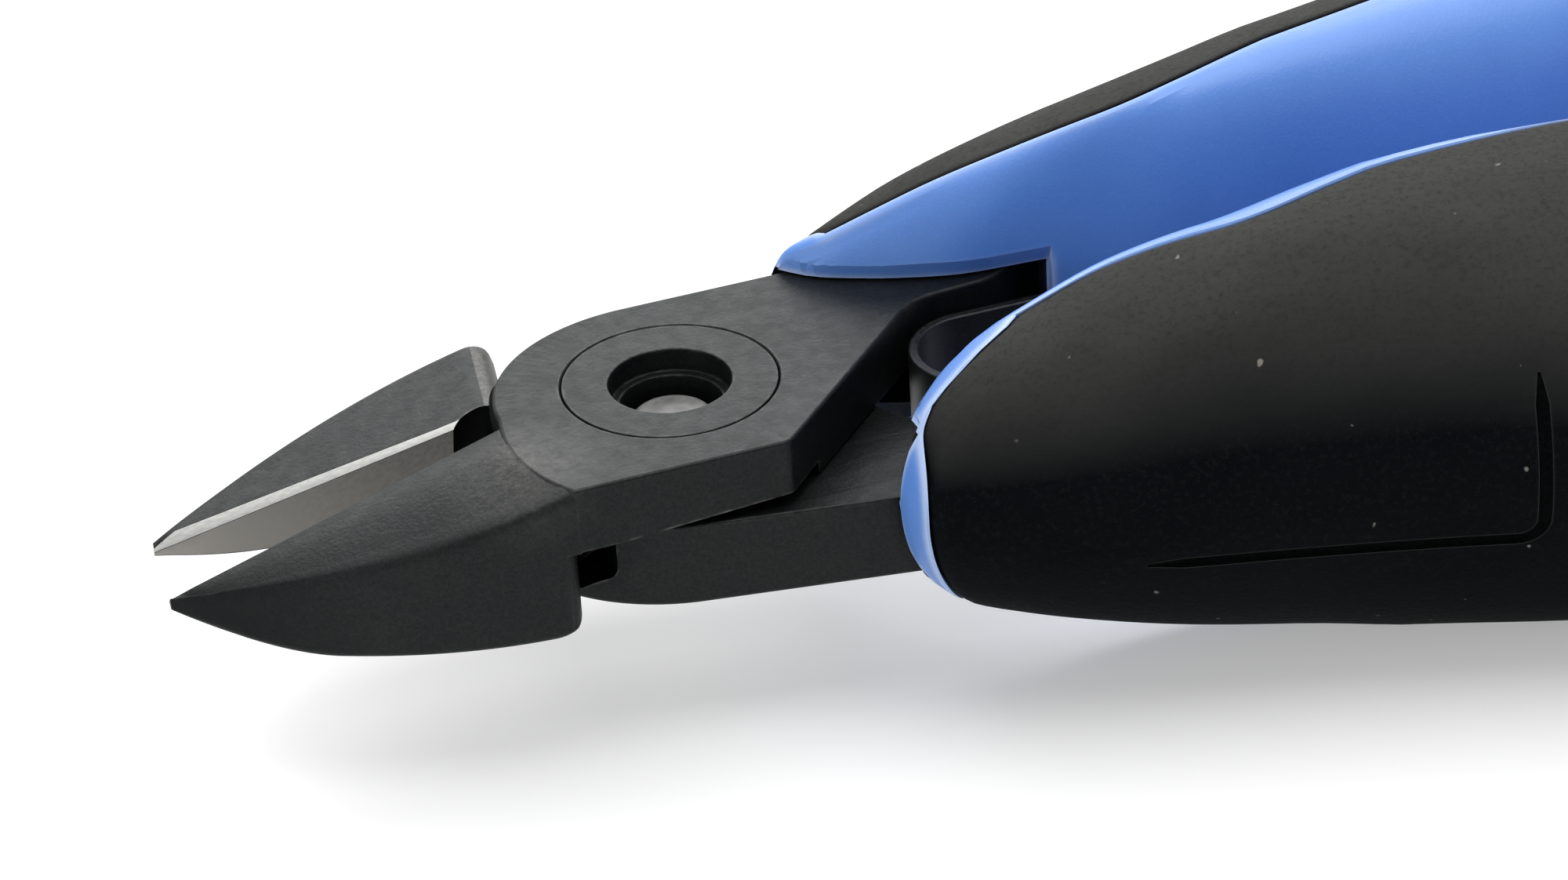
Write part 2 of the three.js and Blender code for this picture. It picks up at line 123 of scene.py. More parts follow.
HEEL = (1.4, 1.0)  # length and height of the rounded corner below the back face
THROAT_X = -8.3
THROAT_R = 1.5
THROAT_LEAN = ((4.4, 1.0), (2.9, 0.75), (-4.6, -4.0))  # its middle, as (z, y)
NOTCH = ((-9.0, 1.25), (-3.6, 1.25), (-3.6, -2.1), (-4.6, -2.6), (-5.3, -3.2), (-9.0, -3.3))  # (x, z)
NOTCH_Y = (3.4, 9.0)

PLATE_NOSE_X = 7.9
PLATE_HALF_WIDTH = 7.0
PLATE_CLEARANCE_R = 8.0
PLATE_CORNER_X = 3.1
PLATE_SHOULDER = (-6.7, -7.1)
PLATE_BULGE = (-8.9, -4.0)
SHOULDER_END = (12.2, 2.1)
TANG_INNER_Y = 2.4
TANG_OUTER_Y = 7.2
TANG_NECK = ((16.0, 2.4), (18.5, 4.0))
TANG_END_X = 58.0
SEAM_WEDGE = ((-5.6, 0.5), (4.9, 1.15))  # the seam opens along this line, of (x, z)

BOLT_DEPTH = 1.3
SHANK_R = 3.5
BORE_R = 2.73
LEDGE_R = 2.3
LEDGE_DEPTH = 1.1
STUD_R = 1.8
STUD_TOP_Z = 1.9
DRIVE_SLOT = (1.2, 0.8)

GRIP_MID_Z = LAP_Z
# stations of [x, half height, inner y, top line y, outer y]
NOSE_STATIONS = {
    UPPER: [(6.9, 4.2, 6.7, 7.1, 8.0), (8.0, 5.1, 5.5, 6.3, 8.8)],
    LOWER: [(8.7, 4.6, 5.9, 6.5, 8.1), (9.1, 5.5, 5.2, 6.0, 8.9)],
}
GRIP_STATIONS = [
    (9.6, 6.3, 4.6, 5.5, 9.7),
    (11.6, 7.5, 3.7, 4.8, 10.5),
    (15.0, 8.8, 2.7, 4.0, 11.3),
    (19.0, 9.8, 2.4, 3.5, 11.9),
    (25.0, 10.6, 1.4, 3.3, 12.5),
    (31.0, 11.05, 0.9, 4.0, 13.2),
    (38.0, 11.25, 0.7, 5.3, 14.3),
    (47.0, 11.3, 1.0, 7.0, 15.9),
    (58.0, 10.9, 2.2, 8.6, 17.2),
    (70.0, 10.4, 3.6, 9.4, 17.7),
    (82.0, 9.7, 4.6, 9.6, 17.0),
    (94.0, 8.9, 4.9, 9.2, 15.8),
    (104.0, 8.0, 4.8, 8.7, 14.4),
    (110.0, 6.6, 5.0, 8.4, 13.1),
    (113.0, 4.6, 5.8, 8.3, 11.8),
    (114.2, 2.4, 6.8, 8.2, 10.2),
]
# the top line's shift outwards changes by a distance, from one x to another: (start, end, distance)
TOP_LINE_SHIFTS = {
    UPPER: ((19.0, 28.0, 0.85), (38.0, 64.0, -0.85)),
    LOWER: ((13.0, 21.0, 1.2), (21.0, 46.0, -6.2), (42.0, 74.0, 5.0)),
}
SLEEVE_START_X = 9.6
SLEEVE_END_X = 104.0
SLEEVE_WALL = 1.6
GROOVE_R = 0.3
GROOVE_X = (18.5, 35.7)
GROOVE_HEIGHT = (-2.45, 5.2)
GROOVE_BEND = 1.1
INNER_POWER = 3.0
OUTER_POWER = 1.85
INNER_COUNT = 56
OUTER_COUNT = 56
SLEEVE_LINE_GAP = 0.14  # how far the sleeve stands off the top line
LINE_SOFT = 0.28
SHRINK = 0.04  # keeps the smooth skins inside the CAD solids' box
# the grips' ends as (distance from the end, how much smaller the section is)
CORE_NOSE = ((0.0, 0.3), (0.08, 0.12), (0.25, 0.03))
SLEEVE_ENDS = ((0.0, 0.35), (0.05, 0.2), (0.16, 0.07), (0.35, 0.0))
RIM_PLACES = 2  # the rim's crease is this many places in from the seam
RIM_DEPTH = 0.24
RIM_FADE = (9.5, 13.5)
NOSE_SWEEP = {"photographed": 0.055, "other": 0.08}
NOSE_SWEEP_END = 31.0
# above the middle, the sleeve's front edge bends forward by the first, then back by the second
SEAM_BEND = {UPPER: (1.9, 0.4), LOWER: (0.78, 2.0)}
SEAM_BEND_FORWARD_TO = 0.75  # share of the way up where the forward bend is complete
SEAM_BEND_BACK_FROM = 0.86
REST_Z = FLOOR_Z  # the undersides are flattened to rest on the floor

MOUTH_END_X = 19.0
MOUTH_HALF_HEIGHT = 3.3
LIP_END_X = 19.12
LIP_HALF_HEIGHT = 4.1
LIP_DEPTH = 0.42
# across the lip's chamfer, as shares of its half height and of its depth
LIP_PROFILE = ((-1, 0.05), (-0.98, 0.16), (-0.76, 1), (0, 1.2), (0.76, 1), (0.98, 0.16), (1, 0.05))
SEAT_END_X = 28.6
SEAT_FLOOR_Y = 2.3
SEAT_HALF_HEIGHT = 2.3
PIN_X = (36.0, 52.0)
PIN_Y = 5.6
PIN_R = 1.0
SPRING_SCREW_X = 25.0
SPRING_SCREW_R = 0.7
SPRING_SCREW_HEAD_R = 1.25
SPRING_SCREW_HEAD = (0.45, 1.15)
SPRING_SCREW_END_Y = 5.0
SPRING_SCREW_OFFSET = 1.05
WIDTH_SCREW_X = 44.0
WIDTH_SCREW_R = 1.5
WIDTH_SCREW_Y = (1.1, 3.7)
HEX_R = 0.87
HEX_DEPTH = 1.3

SPRING_Y = 1.75
SPRING_THICKNESS = 0.5
SPRING_SOFT = 0.12
SPRING_HALF_HEIGHT = 2.1
SPRING_BEND_X = 14.4
SPRING_END_X = 28.0

# ---------- meshes ----------


def place(side):
    """Half frame in millimetres to row frame in metres."""
    scale = Matrix.Diagonal((MM, MM * side, MM, 1.0))
    return Matrix.Translation(PIVOT) @ Matrix.Rotation(OPEN_HALF * side, 4, "Z") @ scale


def around(count):
    """Angles evenly spaced round a circle."""
    return np.linspace(0, 2 * math.pi, count + 1)[:-1]


def new_object(name, points, faces, marks=None):
    mesh = bpy.data.meshes.new(name)
    mesh.from_pydata([tuple(map(float, p)) for p in points], [], faces)
    if marks is not None:
        mesh.polygons.foreach_set("material_index", marks)
    work = bmesh.new()
    work.from_mesh(mesh)
    bmesh.ops.remove_doubles(work, verts=work.verts, dist=1e-5)
    bmesh.ops.recalc_face_normals(work, faces=work.faces)
    work.to_mesh(mesh)
    work.free()
    obj = bpy.data.objects.new(name, mesh)
    bpy.context.scene.collection.objects.link(obj)
    return obj


def skin(name, rings, mark=None, loop=False):
    """Skins a row of rings of equal counts, and closes its ends, or joins them in a loop.

    mark(ring, place) marks the faces.
    """
    count = len(rings[0])
    points = [p for ring in rings for p in ring]
    faces, marks = [], []
    for r in range(len(rings) if loop else len(rings) - 1):
        a, b = r * count, (r + 1) % len(rings) * count
        for i in range(count):
            j = (i + 1) % count
            faces.append((a + i, b + i, b + j, a + j))
            marks.append(mark(r, i) if mark else 0)
    for start in () if loop else (0, (len(rings) - 1) * count):
        faces.append(tuple(range(start, start + count)))
        marks.append(mark(len(rings), 0) if mark and start else 0)
    return new_object(name, points, faces, marks)


def filleted(corners, steps=4):
    """A closed outline with rounded corners. Each corner is (point, tangent length)."""
    points = []
    for i, (corner, size) in enumerate(corners):
        corner = np.array(corner, float)
        if size <= 0:
            points.append(corner)
            continue
        arms = []
        for other in (corners[i - 1][0], corners[(i + 1) % len(corners)][0]):
            arm = np.array(other, float) - corner
            length = max(np.linalg.norm(arm), 1e-9)
            arms.append(arm / length * min(size, 0.48 * length))
        for k in range(steps + 1):
            t = k / steps
            points.append(corner + (1 - t) ** 2 * arms[0] + t ** 2 * arms[1])
    return points


def inset(outline, distance):
    """A counter-clockwise outline moved inwards."""
    ring = np.array(outline, float)
    edges = np.roll(ring, -1, 0) - ring
    edges /= np.maximum(np.linalg.norm(edges, axis=1), 1e-9)[:, None]
    inward = np.stack([-edges[:, 1], edges[:, 0]], 1)
    before = np.roll(inward, 1, 0)
    share = np.maximum(1 + (inward * before).sum(1), 0.3)[:, None]
    return ring + (inward + before) / share * distance


def prism(name, outline, z0, z1, soft=(0.0, 0.0)):
    """An extruded outline whose lower and upper edges are rounded by the two radii in soft."""
    levels, steps = [], 4
    for radius, base, way in ((soft[0], z0, 1), (soft[1], z1, -1)):
        part = []
        for k in range(steps + 1 if radius > 0 else 1):
            angle = math.pi / 2 * k / steps
            part.append((radius * (1 - math.sin(angle)), base + way * radius * (1 - math.cos(angle))))
        levels += part if way > 0 else part[::-1]
    rings = [[(x, y, z) for x, y in inset(outline, depth)] for depth, z in levels]
    return skin(name, rings)


def lathe(name, profile, centre=(0.0, 0.0), segments=96):
    """A ring or a solid turned about an upright axis, from a closed profile of (radius, z)."""
    rings = []
    for k in range(segments):
        angle = 2 * math.pi * k / segments
        c, s = math.cos(angle), math.sin(angle)
        rings.append([(centre[0] + r * c, centre[1] + r * s, z) for r, z in profile])
    obj = skin(name, rings, loop=True)
    work = bmesh.new()
    work.from_mesh(obj.data)
    bmesh.ops.dissolve_degenerate(work, edges=work.edges, dist=1e-5)
    work.to_mesh(obj.data)
    work.free()
    return obj


def turned_profile(corners):
    return [tuple(p) for p in filleted(corners, 3)]


def bar(name, x, z, levels, segments=32):
    """A round bar across the half, along y, through levels of (radius, y)."""
    return skin(name, [[(x + r * math.cos(a), y, z + r * math.sin(a)) for a in around(segments)]
                       for r, y in levels])


def rod(name, x, z, y0, y1, radius, segments=32):
    return bar(name, x, z, [(radius, y0), (radius, y1)], segments)


def block(name, x0, x1, y0, y1, z0, z1):
    outline = [(x0, y0), (x1, y0), (x1, y1), (x0, y1)]
    return prism(name, outline, z0, z1)


def applied(obj):
    """Bakes the object's modifiers into its mesh."""
    graph = bpy.context.evaluated_depsgraph_get()
    mesh = bpy.data.meshes.new_from_object(obj.evaluated_get(graph))
    mesh.name = obj.name
    obj.modifiers.clear()
    old, obj.data = obj.data, mesh
    bpy.data.meshes.remove(old)
    return obj


def combine(obj, operation, tools):
    for tool in tools:
        modifier = obj.modifiers.new("combine", "BOOLEAN")
        modifier.operation = operation
        modifier.object = tool
        modifier.solver = "MANIFOLD"
        applied(obj)
        bpy.data.objects.remove(tool)
    return obj


def cut(obj, *tools):
    return combine(obj, "DIFFERENCE", tools)


def join(obj, *tools):
    return combine(obj, "UNION", tools)


def dress(obj, materials, sharp):
    """Gives a piece its materials, by the marks on its faces, and its shading."""
    marks = [0] * len(obj.data.polygons)
    obj.data.polygons.foreach_get("material_index", marks)
    obj.data.materials.clear()
    for material in materials:
        obj.data.materials.append(material)
    obj.data.polygons.foreach_set("material_index", [min(m, len(materials) - 1) for m in marks])
    obj.data.shade_smooth()
    obj.data.set_sharp_from_angle(angle=math.radians(sharp))
    weighted = obj.modifiers.new("weighted", "WEIGHTED_NORMAL")
    weighted.keep_sharp = True
    weighted.weight = 80
    applied(obj)
    tilted = [abs(face.normal.z) < 0.99995 for face in obj.data.polygons]
    obj.data.polygons.foreach_set("use_smooth", tilted)  # level faces stay flat


def finished(obj, side, body, replaces, materials, sharp=32):
    """Puts a piece drawn in a half's frame where it belongs, and hands it to the frame."""
    work = bmesh.new()
    work.from_mesh(obj.data)
    bmesh.ops.remove_doubles(work, verts=work.verts, dist=1e-5)
    bmesh.ops.triangulate(work, faces=[face for face in work.faces if len(face.verts) > 4])
    work.transform(place(side))
    if side < 0:
        bmesh.ops.reverse_faces(work, faces=work.faces)
    work.to_mesh(obj.data)
    work.free()
    dress(obj, materials, sharp)
    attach(obj, body)
    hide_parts(replaces)
    return obj


def smooth_table(stations):
    """Monotone curves through the stations, one for each column, read by x."""
    table = np.array(stations, float)
    x, values = table[:, 0], table[:, 1:]
    h = np.diff(x)[:, None]
    slope = np.diff(values, axis=0) / h
    tangent = np.zeros_like(values)
    tangent[0], tangent[-1] = slope[0], slope[-1]
    same = slope[:-1] * slope[1:] > 0
    w1, w2 = 2 * h[1:] + h[:-1], h[1:] + 2 * h[:-1]
    safe = np.where(same, slope[:-1], 1.0), np.where(same, slope[1:], 1.0)
    tangent[1:-1] = np.where(same, (w1 + w2) / (w1 / safe[0] + w2 / safe[1]), 0.0)

    def read(at):
        k = int(np.clip(np.searchsorted(x, at) - 1, 0, len(x) - 2))
        span = x[k + 1] - x[k]
        t = (at - x[k]) / span
        return (
            (1 + 2 * t) * (1 - t) ** 2 * values[k]
            + t * (1 - t) ** 2 * span * tangent[k]
            + t * t * (3 - 2 * t) * values[k + 1]
            + t * t * (t - 1) * span * tangent[k + 1]
        )

    return read


# ---------- materials ----------

# zones of a material: their middle, and how far they reach
RUBBED = (place(UPPER) @ Vector((-8.1, -4.0, HEAD_TOP)), 4.2 * MM)  # where wires rub the crease
# painted shade, low on the upper jaw's side at its tip
TIP_PAINTED_SHADE = (place(UPPER) @ Vector((TIP_X + 1.0, -1.5, -3.0)), 8.0 * MM)
# painted light on the honed flanks near the tips
TIP_PAINTED_LIGHT = (place(LOWER) @ Vector((TIP_X, 0.0, EDGE_Z_AT_TIP)), 12.0 * MM)


class Shader:
    """A material under construction."""

    def __init__(self, name):
        self.material = bpy.data.materials.new(name)
        self.material.use_nodes = True
        self.tree = self.material.node_tree
        self.surface = self.tree.nodes["Principled BSDF"]
        self.coordinates = self.node("ShaderNodeTexCoord").outputs["Object"]

    def node(self, kind, **settings):
        node = self.tree.nodes.new(kind)
        for key, value in settings.items():
            setattr(node, key, value)
        return node

    def link(self, source, target):
        self.tree.links.new(source, target)

    def noise(self, size, detail=3.0, roughness=0.55, stretch=None):
        """Noise with features of the given size in millimetres."""
        node = self.node("ShaderNodeTexNoise")
        node.inputs["Scale"].default_value = 1.0 / (size * MM)
        node.inputs["Detail"].default_value = detail
        node.inputs["Roughness"].default_value = roughness
        source = self.coordinates
        if stretch:
            mapping = self.node("ShaderNodeMapping")
            mapping.inputs["Scale"].default_value = stretch
            self.link(source, mapping.inputs["Vector"])
            source = mapping.outputs["Vector"]
        self.link(source, node.inputs["Vector"])
        return node.outputs["Fac"]

    def ramp(self, source, low, high, start=0.35, end=0.65):
        node = self.node("ShaderNodeMapRange")
        node.inputs["From Min"].default_value = start
        node.inputs["From Max"].default_value = end
        node.inputs["To Min"].default_value = low
        node.inputs["To Max"].default_value = high
        self.link(source, node.inputs["Value"])
        return node.outputs["Result"]

    def math(self, operation, a, b):
        node = self.node("ShaderNodeMath", operation=operation)
        for socket, value in zip(node.inputs, (a, b)):
            if isinstance(value, (int, float)):
                socket.default_value = value
            else:
                self.link(value, socket)
        return node.outputs[0]

    def mix(self, factor, a, b):
        """Mixes two colours, each an RGB triple or a socket."""
        node = self.node("ShaderNodeMix", data_type="RGBA")
        self.link(factor, node.inputs["Factor"])
        for name, value in (("A", a), ("B", b)):
            socket = next(s for s in node.inputs if s.name == name and s.type == "RGBA")
            if isinstance(value, tuple):
                socket.default_value = (*value, 1.0)
            else:
                self.link(value, socket)
        return next(s for s in node.outputs if s.type == "RGBA")

    def near(self, place_at, reach):
        """High near a point, in metres, and fading to nothing at the reach."""
        distance = self.node("ShaderNodeVectorMath", operation="DISTANCE")
        distance.inputs[1].default_value = tuple(place_at)
        self.link(self.coordinates, distance.inputs[0])
        return self.ramp(distance.outputs["Value"], 1.0, 0.0, 0.0, reach)

    def upward(self, start, end):
        """High where the surface faces up, where light is painted on."""
        split = self.node("ShaderNodeSeparateXYZ")
        self.link(self.node("ShaderNodeNewGeometry").outputs["Normal"], split.inputs["Vector"])
        return self.ramp(split.outputs["Z"], 0.0, 1.0, start, end)

    def edge_mask(self, radius, start, end):
        """High where the surface bends sharply within the radius, in millimetres."""
        bevel = self.node("ShaderNodeBevel", samples=8)
        bevel.inputs["Radius"].default_value = radius * MM
        geometry = self.node("ShaderNodeNewGeometry")
        dot = self.node("ShaderNodeVectorMath", operation="DOT_PRODUCT")
        self.link(bevel.outputs["Normal"], dot.inputs[0])
        self.link(geometry.outputs["Normal"], dot.inputs[1])
        return self.ramp(self.math("SUBTRACT", 1.0, dot.outputs["Value"]), 0.0, 1.0, start, end)

    def bump(self, *layers):
        """Stacks bumps, each (height socket, depth in millimetres)."""
        normal = None
        for height, depth in layers:
            node = self.node("ShaderNodeBump")
            node.inputs["Strength"].default_value = 1.0
            node.inputs["Distance"].default_value = depth * MM
            self.link(height, node.inputs["Height"])
            if normal:
                self.link(normal, node.inputs["Normal"])
            normal = node.outputs["Normal"]
        if normal:
            self.link(normal, self.surface.inputs["Normal"])

    def put(self, socket, value):
        target = self.surface.inputs[socket]
        if isinstance(value, (int, float)):
            target.default_value = value
        else:
            self.link(value, target)

    def cover(self, base, roughness, metallic=0.0, specular=0.5):
        self.put("Base Color", base)
        self.put("Roughness", roughness)
        self.put("Metallic", metallic)
        self.put("Specular IOR Level", specular)


def dark_steel():
    """Burnished dark steel: fine grain, faint milling marks, worn edges and painted shade near the
    upper jaw's tip.
    """
    shader = Shader("dark_steel")
    blotch = shader.ramp(shader.noise(2.6, 4), 0.0, 1.0, 0.35, 0.68)
    grain = shader.noise(0.16, 3, 0.75)
    base = shader.mix(blotch, (0.0075, 0.0095, 0.0105), (0.0095, 0.011, 0.0112))
    base = shader.mix(shader.ramp(grain, 0.0, 0.45, 0.35, 0.7), base, (0.03, 0.031, 0.03))
    scuffs = shader.ramp(shader.noise(0.7, 4), 0.0, 0.75, 0.42, 0.66)
    worn = shader.math("MULTIPLY", shader.edge_mask(0.3, 0.012, 0.16), scuffs)
    base = shader.mix(worn, base, (0.13, 0.128, 0.12))
    # painted shade near the upper jaw's tip
    base = shader.mix(shader.near(*TIP_PAINTED_SHADE), base, (0.002, 0.0026, 0.003))
    rubbing = shader.ramp(shader.noise(0.3, 4, 0.7), 0.25, 0.8, 0.4, 0.66)
    rubbed = shader.math("MULTIPLY", shader.near(*RUBBED), rubbing)
    base = shader.mix(rubbed, base, (0.075, 0.0755, 0.07))
    shader.cover(base, shader.ramp(shader.noise(0.8, 4), 0.42, 0.5), metallic=0.75, specular=0.35)
    marks = shader.noise(0.3, 2, 0.5, stretch=(1.0, 1.0, 0.05))
    shader.bump((grain, 0.016), (marks, 0.016))
    return shader.material


def streaked_steel(name, size, stretch, spread, colours, metallic, roughness,
                   depth=0.006, detail=3, grain=0.0, zone=None):
    """Steel with streaks of two colours. zone is a place and the steel's colour there."""
    shader = Shader(name)
    streak = shader.noise(size, detail, 0.6, stretch)
    base = shader.mix(shader.ramp(streak, 0.0, 1.0, *spread), *colours)
    if zone:
        base = shader.mix(shader.near(*zone[0]), base, zone[1])
    shader.cover(base, shader.ramp(streak, *roughness), metallic)
    layers = [(streak, depth)] if depth else []
    if grain:
        layers.append((shader.noise(0.08, 2, 0.7), grain))
    shader.bump(*layers)
    return shader.material


def ground_steel():
    """Bare ground steel, as on the jaw's back corner."""
    return streaked_steel("ground_steel", 0.25, (1.0, 1.0, 0.12), (0.38, 0.62),
                          ((0.035, 0.035, 0.033), (0.1, 0.099, 0.094)), 0.85, (0.4, 0.55),
                          depth=0.008, grain=0.006)


def polished_steel():
    """The bright strip along a cutting edge."""
    return streaked_steel("polished_steel", 0.12, (0.08, 1.0, 1.0), (0.4, 0.6),
                          ((0.34, 0.34, 0.33), (0.4, 0.4, 0.385)), 1.0, (0.3, 0.36),
                          depth=0.0, detail=2)


def honed_steel():
    """The ground flank below a cutting edge, brownish, and brighter near the tips with painted light.
    """
    return streaked_steel("honed_steel", 0.3, (1.0, 1.0, 0.15), (0.38, 0.62),
                          ((0.055, 0.051, 0.044), (0.1, 0.095, 0.084)), 0.8, (0.3, 0.42),
                          zone=(TIP_PAINTED_LIGHT, (0.2, 0.19, 0.168)))


def spring_steel():
    """Dark spring strip."""
    return streaked_steel("spring_steel", 0.2, (1.0, 1.0, 8.0), (0.35, 0.65),
                          ((0.012, 0.0135, 0.015), (0.03, 0.031, 0.033)), 0.8, (0.38, 0.5))


def black_scale():
    """Unworn black oxide, left inside the cuts. In the sleeve's groove it is painted shade."""
    shader = Shader("black_scale")
    grain = shader.noise(0.2, 3, 0.65)
    base = shader.mix(shader.ramp(grain, 0.0, 1.0), (0.0015, 0.0018, 0.002), (0.004, 0.0045, 0.005))
    shader.cover(base, shader.ramp(grain, 0.6, 0.75), specular=0.02)
    shader.bump((grain, 0.015))
    return shader.material


def screw_steel():
    """Dark plated steel with turning marks."""
    shader = Shader("screw_steel")
    grain = shader.noise(0.1, 3, 0.65)
    cloud = shader.ramp(shader.noise(0.9, 3), 0.0, 1.0)
    base = shader.mix(cloud, (0.18, 0.182, 0.18), (0.27, 0.27, 0.264))
    worn = shader.math("MULTIPLY", shader.edge_mask(0.1, 0.04, 0.3), shader.ramp(grain, 0.3, 0.9))
    base = shader.mix(worn, base, (0.55, 0.545, 0.53))
    shader.cover(base, shader.ramp(grain, 0.34, 0.5), metallic=0.6)
    shader.bump((grain, 0.008))
    return shader.material


def blue_plastic():
    """Satin blue plastic with a very fine moulded grain and a painted highlight along its edges."""
    shader = Shader("blue_plastic")
    cloud = shader.ramp(shader.noise(6.0, 3), 0.0, 1.0, 0.3, 0.7)
    grain = shader.noise(0.12, 3, 0.65)
    base = shader.mix(cloud, (0.079, 0.204, 0.555), (0.093, 0.228, 0.595))
    base = shader.mix(shader.ramp(grain, 0.0, 0.35, 0.5, 0.75), base, (0.15, 0.28, 0.66))
    # painted highlight along the edges, broad on the rounded top of the inner face
    base = shader.mix(shader.edge_mask(0.8, 0.01, 0.3), base, (0.4, 0.5, 0.72))
    shader.cover(base, shader.ramp(grain, 0.36, 0.46))
    shader.bump((grain, 0.012), (shader.noise(1.5, 2), 0.01))
    return shader.material


def painted_shade_plastic():
    """Painted shade: the core's plastic inside its mouth and round its tang, painted dark with a
    mottle.
    """
    shader = Shader("painted_shade_plastic")
    mottle = shader.ramp(shader.noise(0.9, 4, 0.6), 0.0, 1.0, 0.35, 0.65)
    base = shader.mix(mottle, (0.004, 0.006, 0.011), (0.009, 0.016, 0.034))
    shader.cover(base, shader.ramp(mottle, 0.5, 0.65), specular=0.2)
    shader.bump((mottle, 0.02))
    return shader.material


def black_rubber():
    """Matte soft-touch rubber with a fine grain, a few light specks of dust, painted light where it
    faces up and a painted highlight on its edges.
    """
    shader = Shader("black_rubber")
    grain = shader.noise(0.28, 3, 0.8)
    cloud = shader.ramp(shader.noise(4.0, 4, 0.6, stretch=(0.5, 1.0, 1.0)), 0.0, 1.0, 0.3, 0.7)
    base = shader.mix(cloud, (0.0008, 0.0014, 0.0022), (0.0018, 0.0026, 0.0034))
    # painted light: lighter where the rubber faces up, in cloudy patches
    painted_top_light = shader.math("MULTIPLY", shader.upward(0.28, 1.0), shader.ramp(cloud, 0.75, 1.0, 0.0, 1.0))
    base = shader.mix(painted_top_light, base, (0.052, 0.0525, 0.0485))
    base = shader.mix(shader.ramp(grain, 0.0, 0.5, 0.5, 0.75), base, (0.011, 0.0115, 0.0115))
    # painted highlight on the rubber's edges
    base = shader.mix(shader.edge_mask(0.2, 0.03, 0.3), base, (0.03, 0.03, 0.029))
    specks = shader.ramp(shader.noise(0.7, 1, 0.3), 0.0, 0.8, 0.79, 0.83)
    base = shader.mix(specks, base, (0.2, 0.19, 0.17))
    shader.cover(base, shader.ramp(grain, 0.6, 0.75), specular=0.03)
    shader.bump((grain, 0.05), (shader.noise(0.6, 2), 0.03))
    return shader.material


# ---------- steel halves ----------


def bezier(a, b, c, steps):
    a, b, c = (np.array(p, float) for p in (a, b, c))
    return [(1 - t) ** 2 * a + 2 * t * (1 - t) * b + t * t * c for t in np.linspace(0, 1, steps + 1)]


def crease_x(out):
    """Where the upper plate's front curve is, at the distance out from the middle."""
    bulge_y, end_y = -PLATE_BULGE[1], -PLATE_SHOULDER[1]
    a, b = end_y - 2 * bulge_y, 2 * bulge_y
    t = (-b + math.sqrt(max(b * b + 4 * a * out, 0))) / (2 * a)
    t = min(max(t, 0.0), 1.0)
    return (1 - t) ** 2 * -PLATE_NOSE_X + 2 * t * (1 - t) * PLATE_BULGE[0] + t * t * PLATE_SHOULDER[0]


def jaw_width(x, side):
    u = (x - TIP_X) / (SHOULDER_X - TIP_X)
    return JAW_WIDTH[side] * (1 - (1 - u) ** JAW_POWER) + JAW_TIP_WIDTH * (1 - u)


def smoothstep(t):
    t = min(max(t, 0.0), 1.0)
    return t * t * (3 - 2 * t)


def edge_height(x):
    return min(EDGE_Z_AT_TIP + EDGE_RISE * (x - TIP_X), HEAD_TOP - 0.2)


def ridge_height(x):
    return HEAD_TOP - RIDGE_FALL * (SHOULDER_X - x)


def top_height(x, out, low, high, side):
    """Height of the jaw's top face at x, from its low inner edge (out 0) to its ridge (out 1).

    The upper jaw's face rises to meet the plate's front curve. The lower jaw's rolls down at the back.
    """
    z = low + (high - low) * out
    if side == UPPER:
        crease = crease_x(out * JAW_WIDTH[side])
        top = HEAD_TOP - CREASE_DROP
        missing = (top - (1 - out) * (edge_height(crease) + low - edge_height(x))
                   - out * ridge_height(crease))
        crown = 1 - (1 - min(out / CROWN_SHARE, 1.0)) ** 2
        return min(z + missing * crown * (x - TIP_X) / (crease - TIP_X), top)
    into = min(max(x - (JAW_BACK[side] - BACK_ROUND), 0.0), BACK_ROUND * 0.98)
    return z - (BACK_ROUND - math.sqrt(BACK_ROUND ** 2 - into ** 2))


def jaw_ring(x, side):
    """Section of a jaw at x, with the jaw at -y."""
    width = jaw_width(x, side)
    edge_z = edge_height(x)
    ridge_z = ridge_height(x)
    tipward = max(0.0, (BOTTOM_FLAT_X - x) / (BOTTOM_FLAT_X - TIP_X))
    heel = min(max(x - (JAW_BACK[side] - HEEL[0]), 0.0) / HEEL[0], 1.0)
    heel_z = HEEL[1] * (1 - math.sqrt(1 - heel * heel))
    bottom_z = -HEAD_TOP + BOTTOM_RISE * tipward ** BOTTOM_POWER + heel_z
    narrow = 1 - BEVEL_NARROWING[0] * min(1.0, (x - TIP_X) / BEVEL_NARROWING[1])
    bevel_y = min(EDGE_BEVEL[0] * narrow, width * 0.45)
    bevel_z = min(edge_z + EDGE_BEVEL[1] * bevel_y / EDGE_BEVEL[0], HEAD_TOP - 0.1)
    flank_y = min(FLANK_SLOPE * (edge_z - bottom_z), width * 0.6)
    soft = min(RIDGE_SOFT, width * 0.3)
    corners = [((JAW_EDGE_Y, edge_z), 0.02), ((JAW_EDGE_Y + bevel_y, bevel_z), 0.03)]
    span = width - bevel_y
    for k in range(1, TOP_STEPS):
        out = k / TOP_STEPS
        z = top_height(x, out, bevel_z, ridge_z, side)
        corners.append(((JAW_EDGE_Y + bevel_y + span * out * 0.9, z), 0.0))
    ridge = top_height(x, 1.0, bevel_z, ridge_z, side)
    corners.append(((JAW_EDGE_Y + width, ridge), soft))
    corners.append(((JAW_EDGE_Y + width, bottom_z), min(0.4, width * 0.3)))
    corners.append(((JAW_EDGE_Y + flank_y, bottom_z), min(0.2, width * 0.2)))
    return [(x, -y, z) for y, z in filleted(corners)]


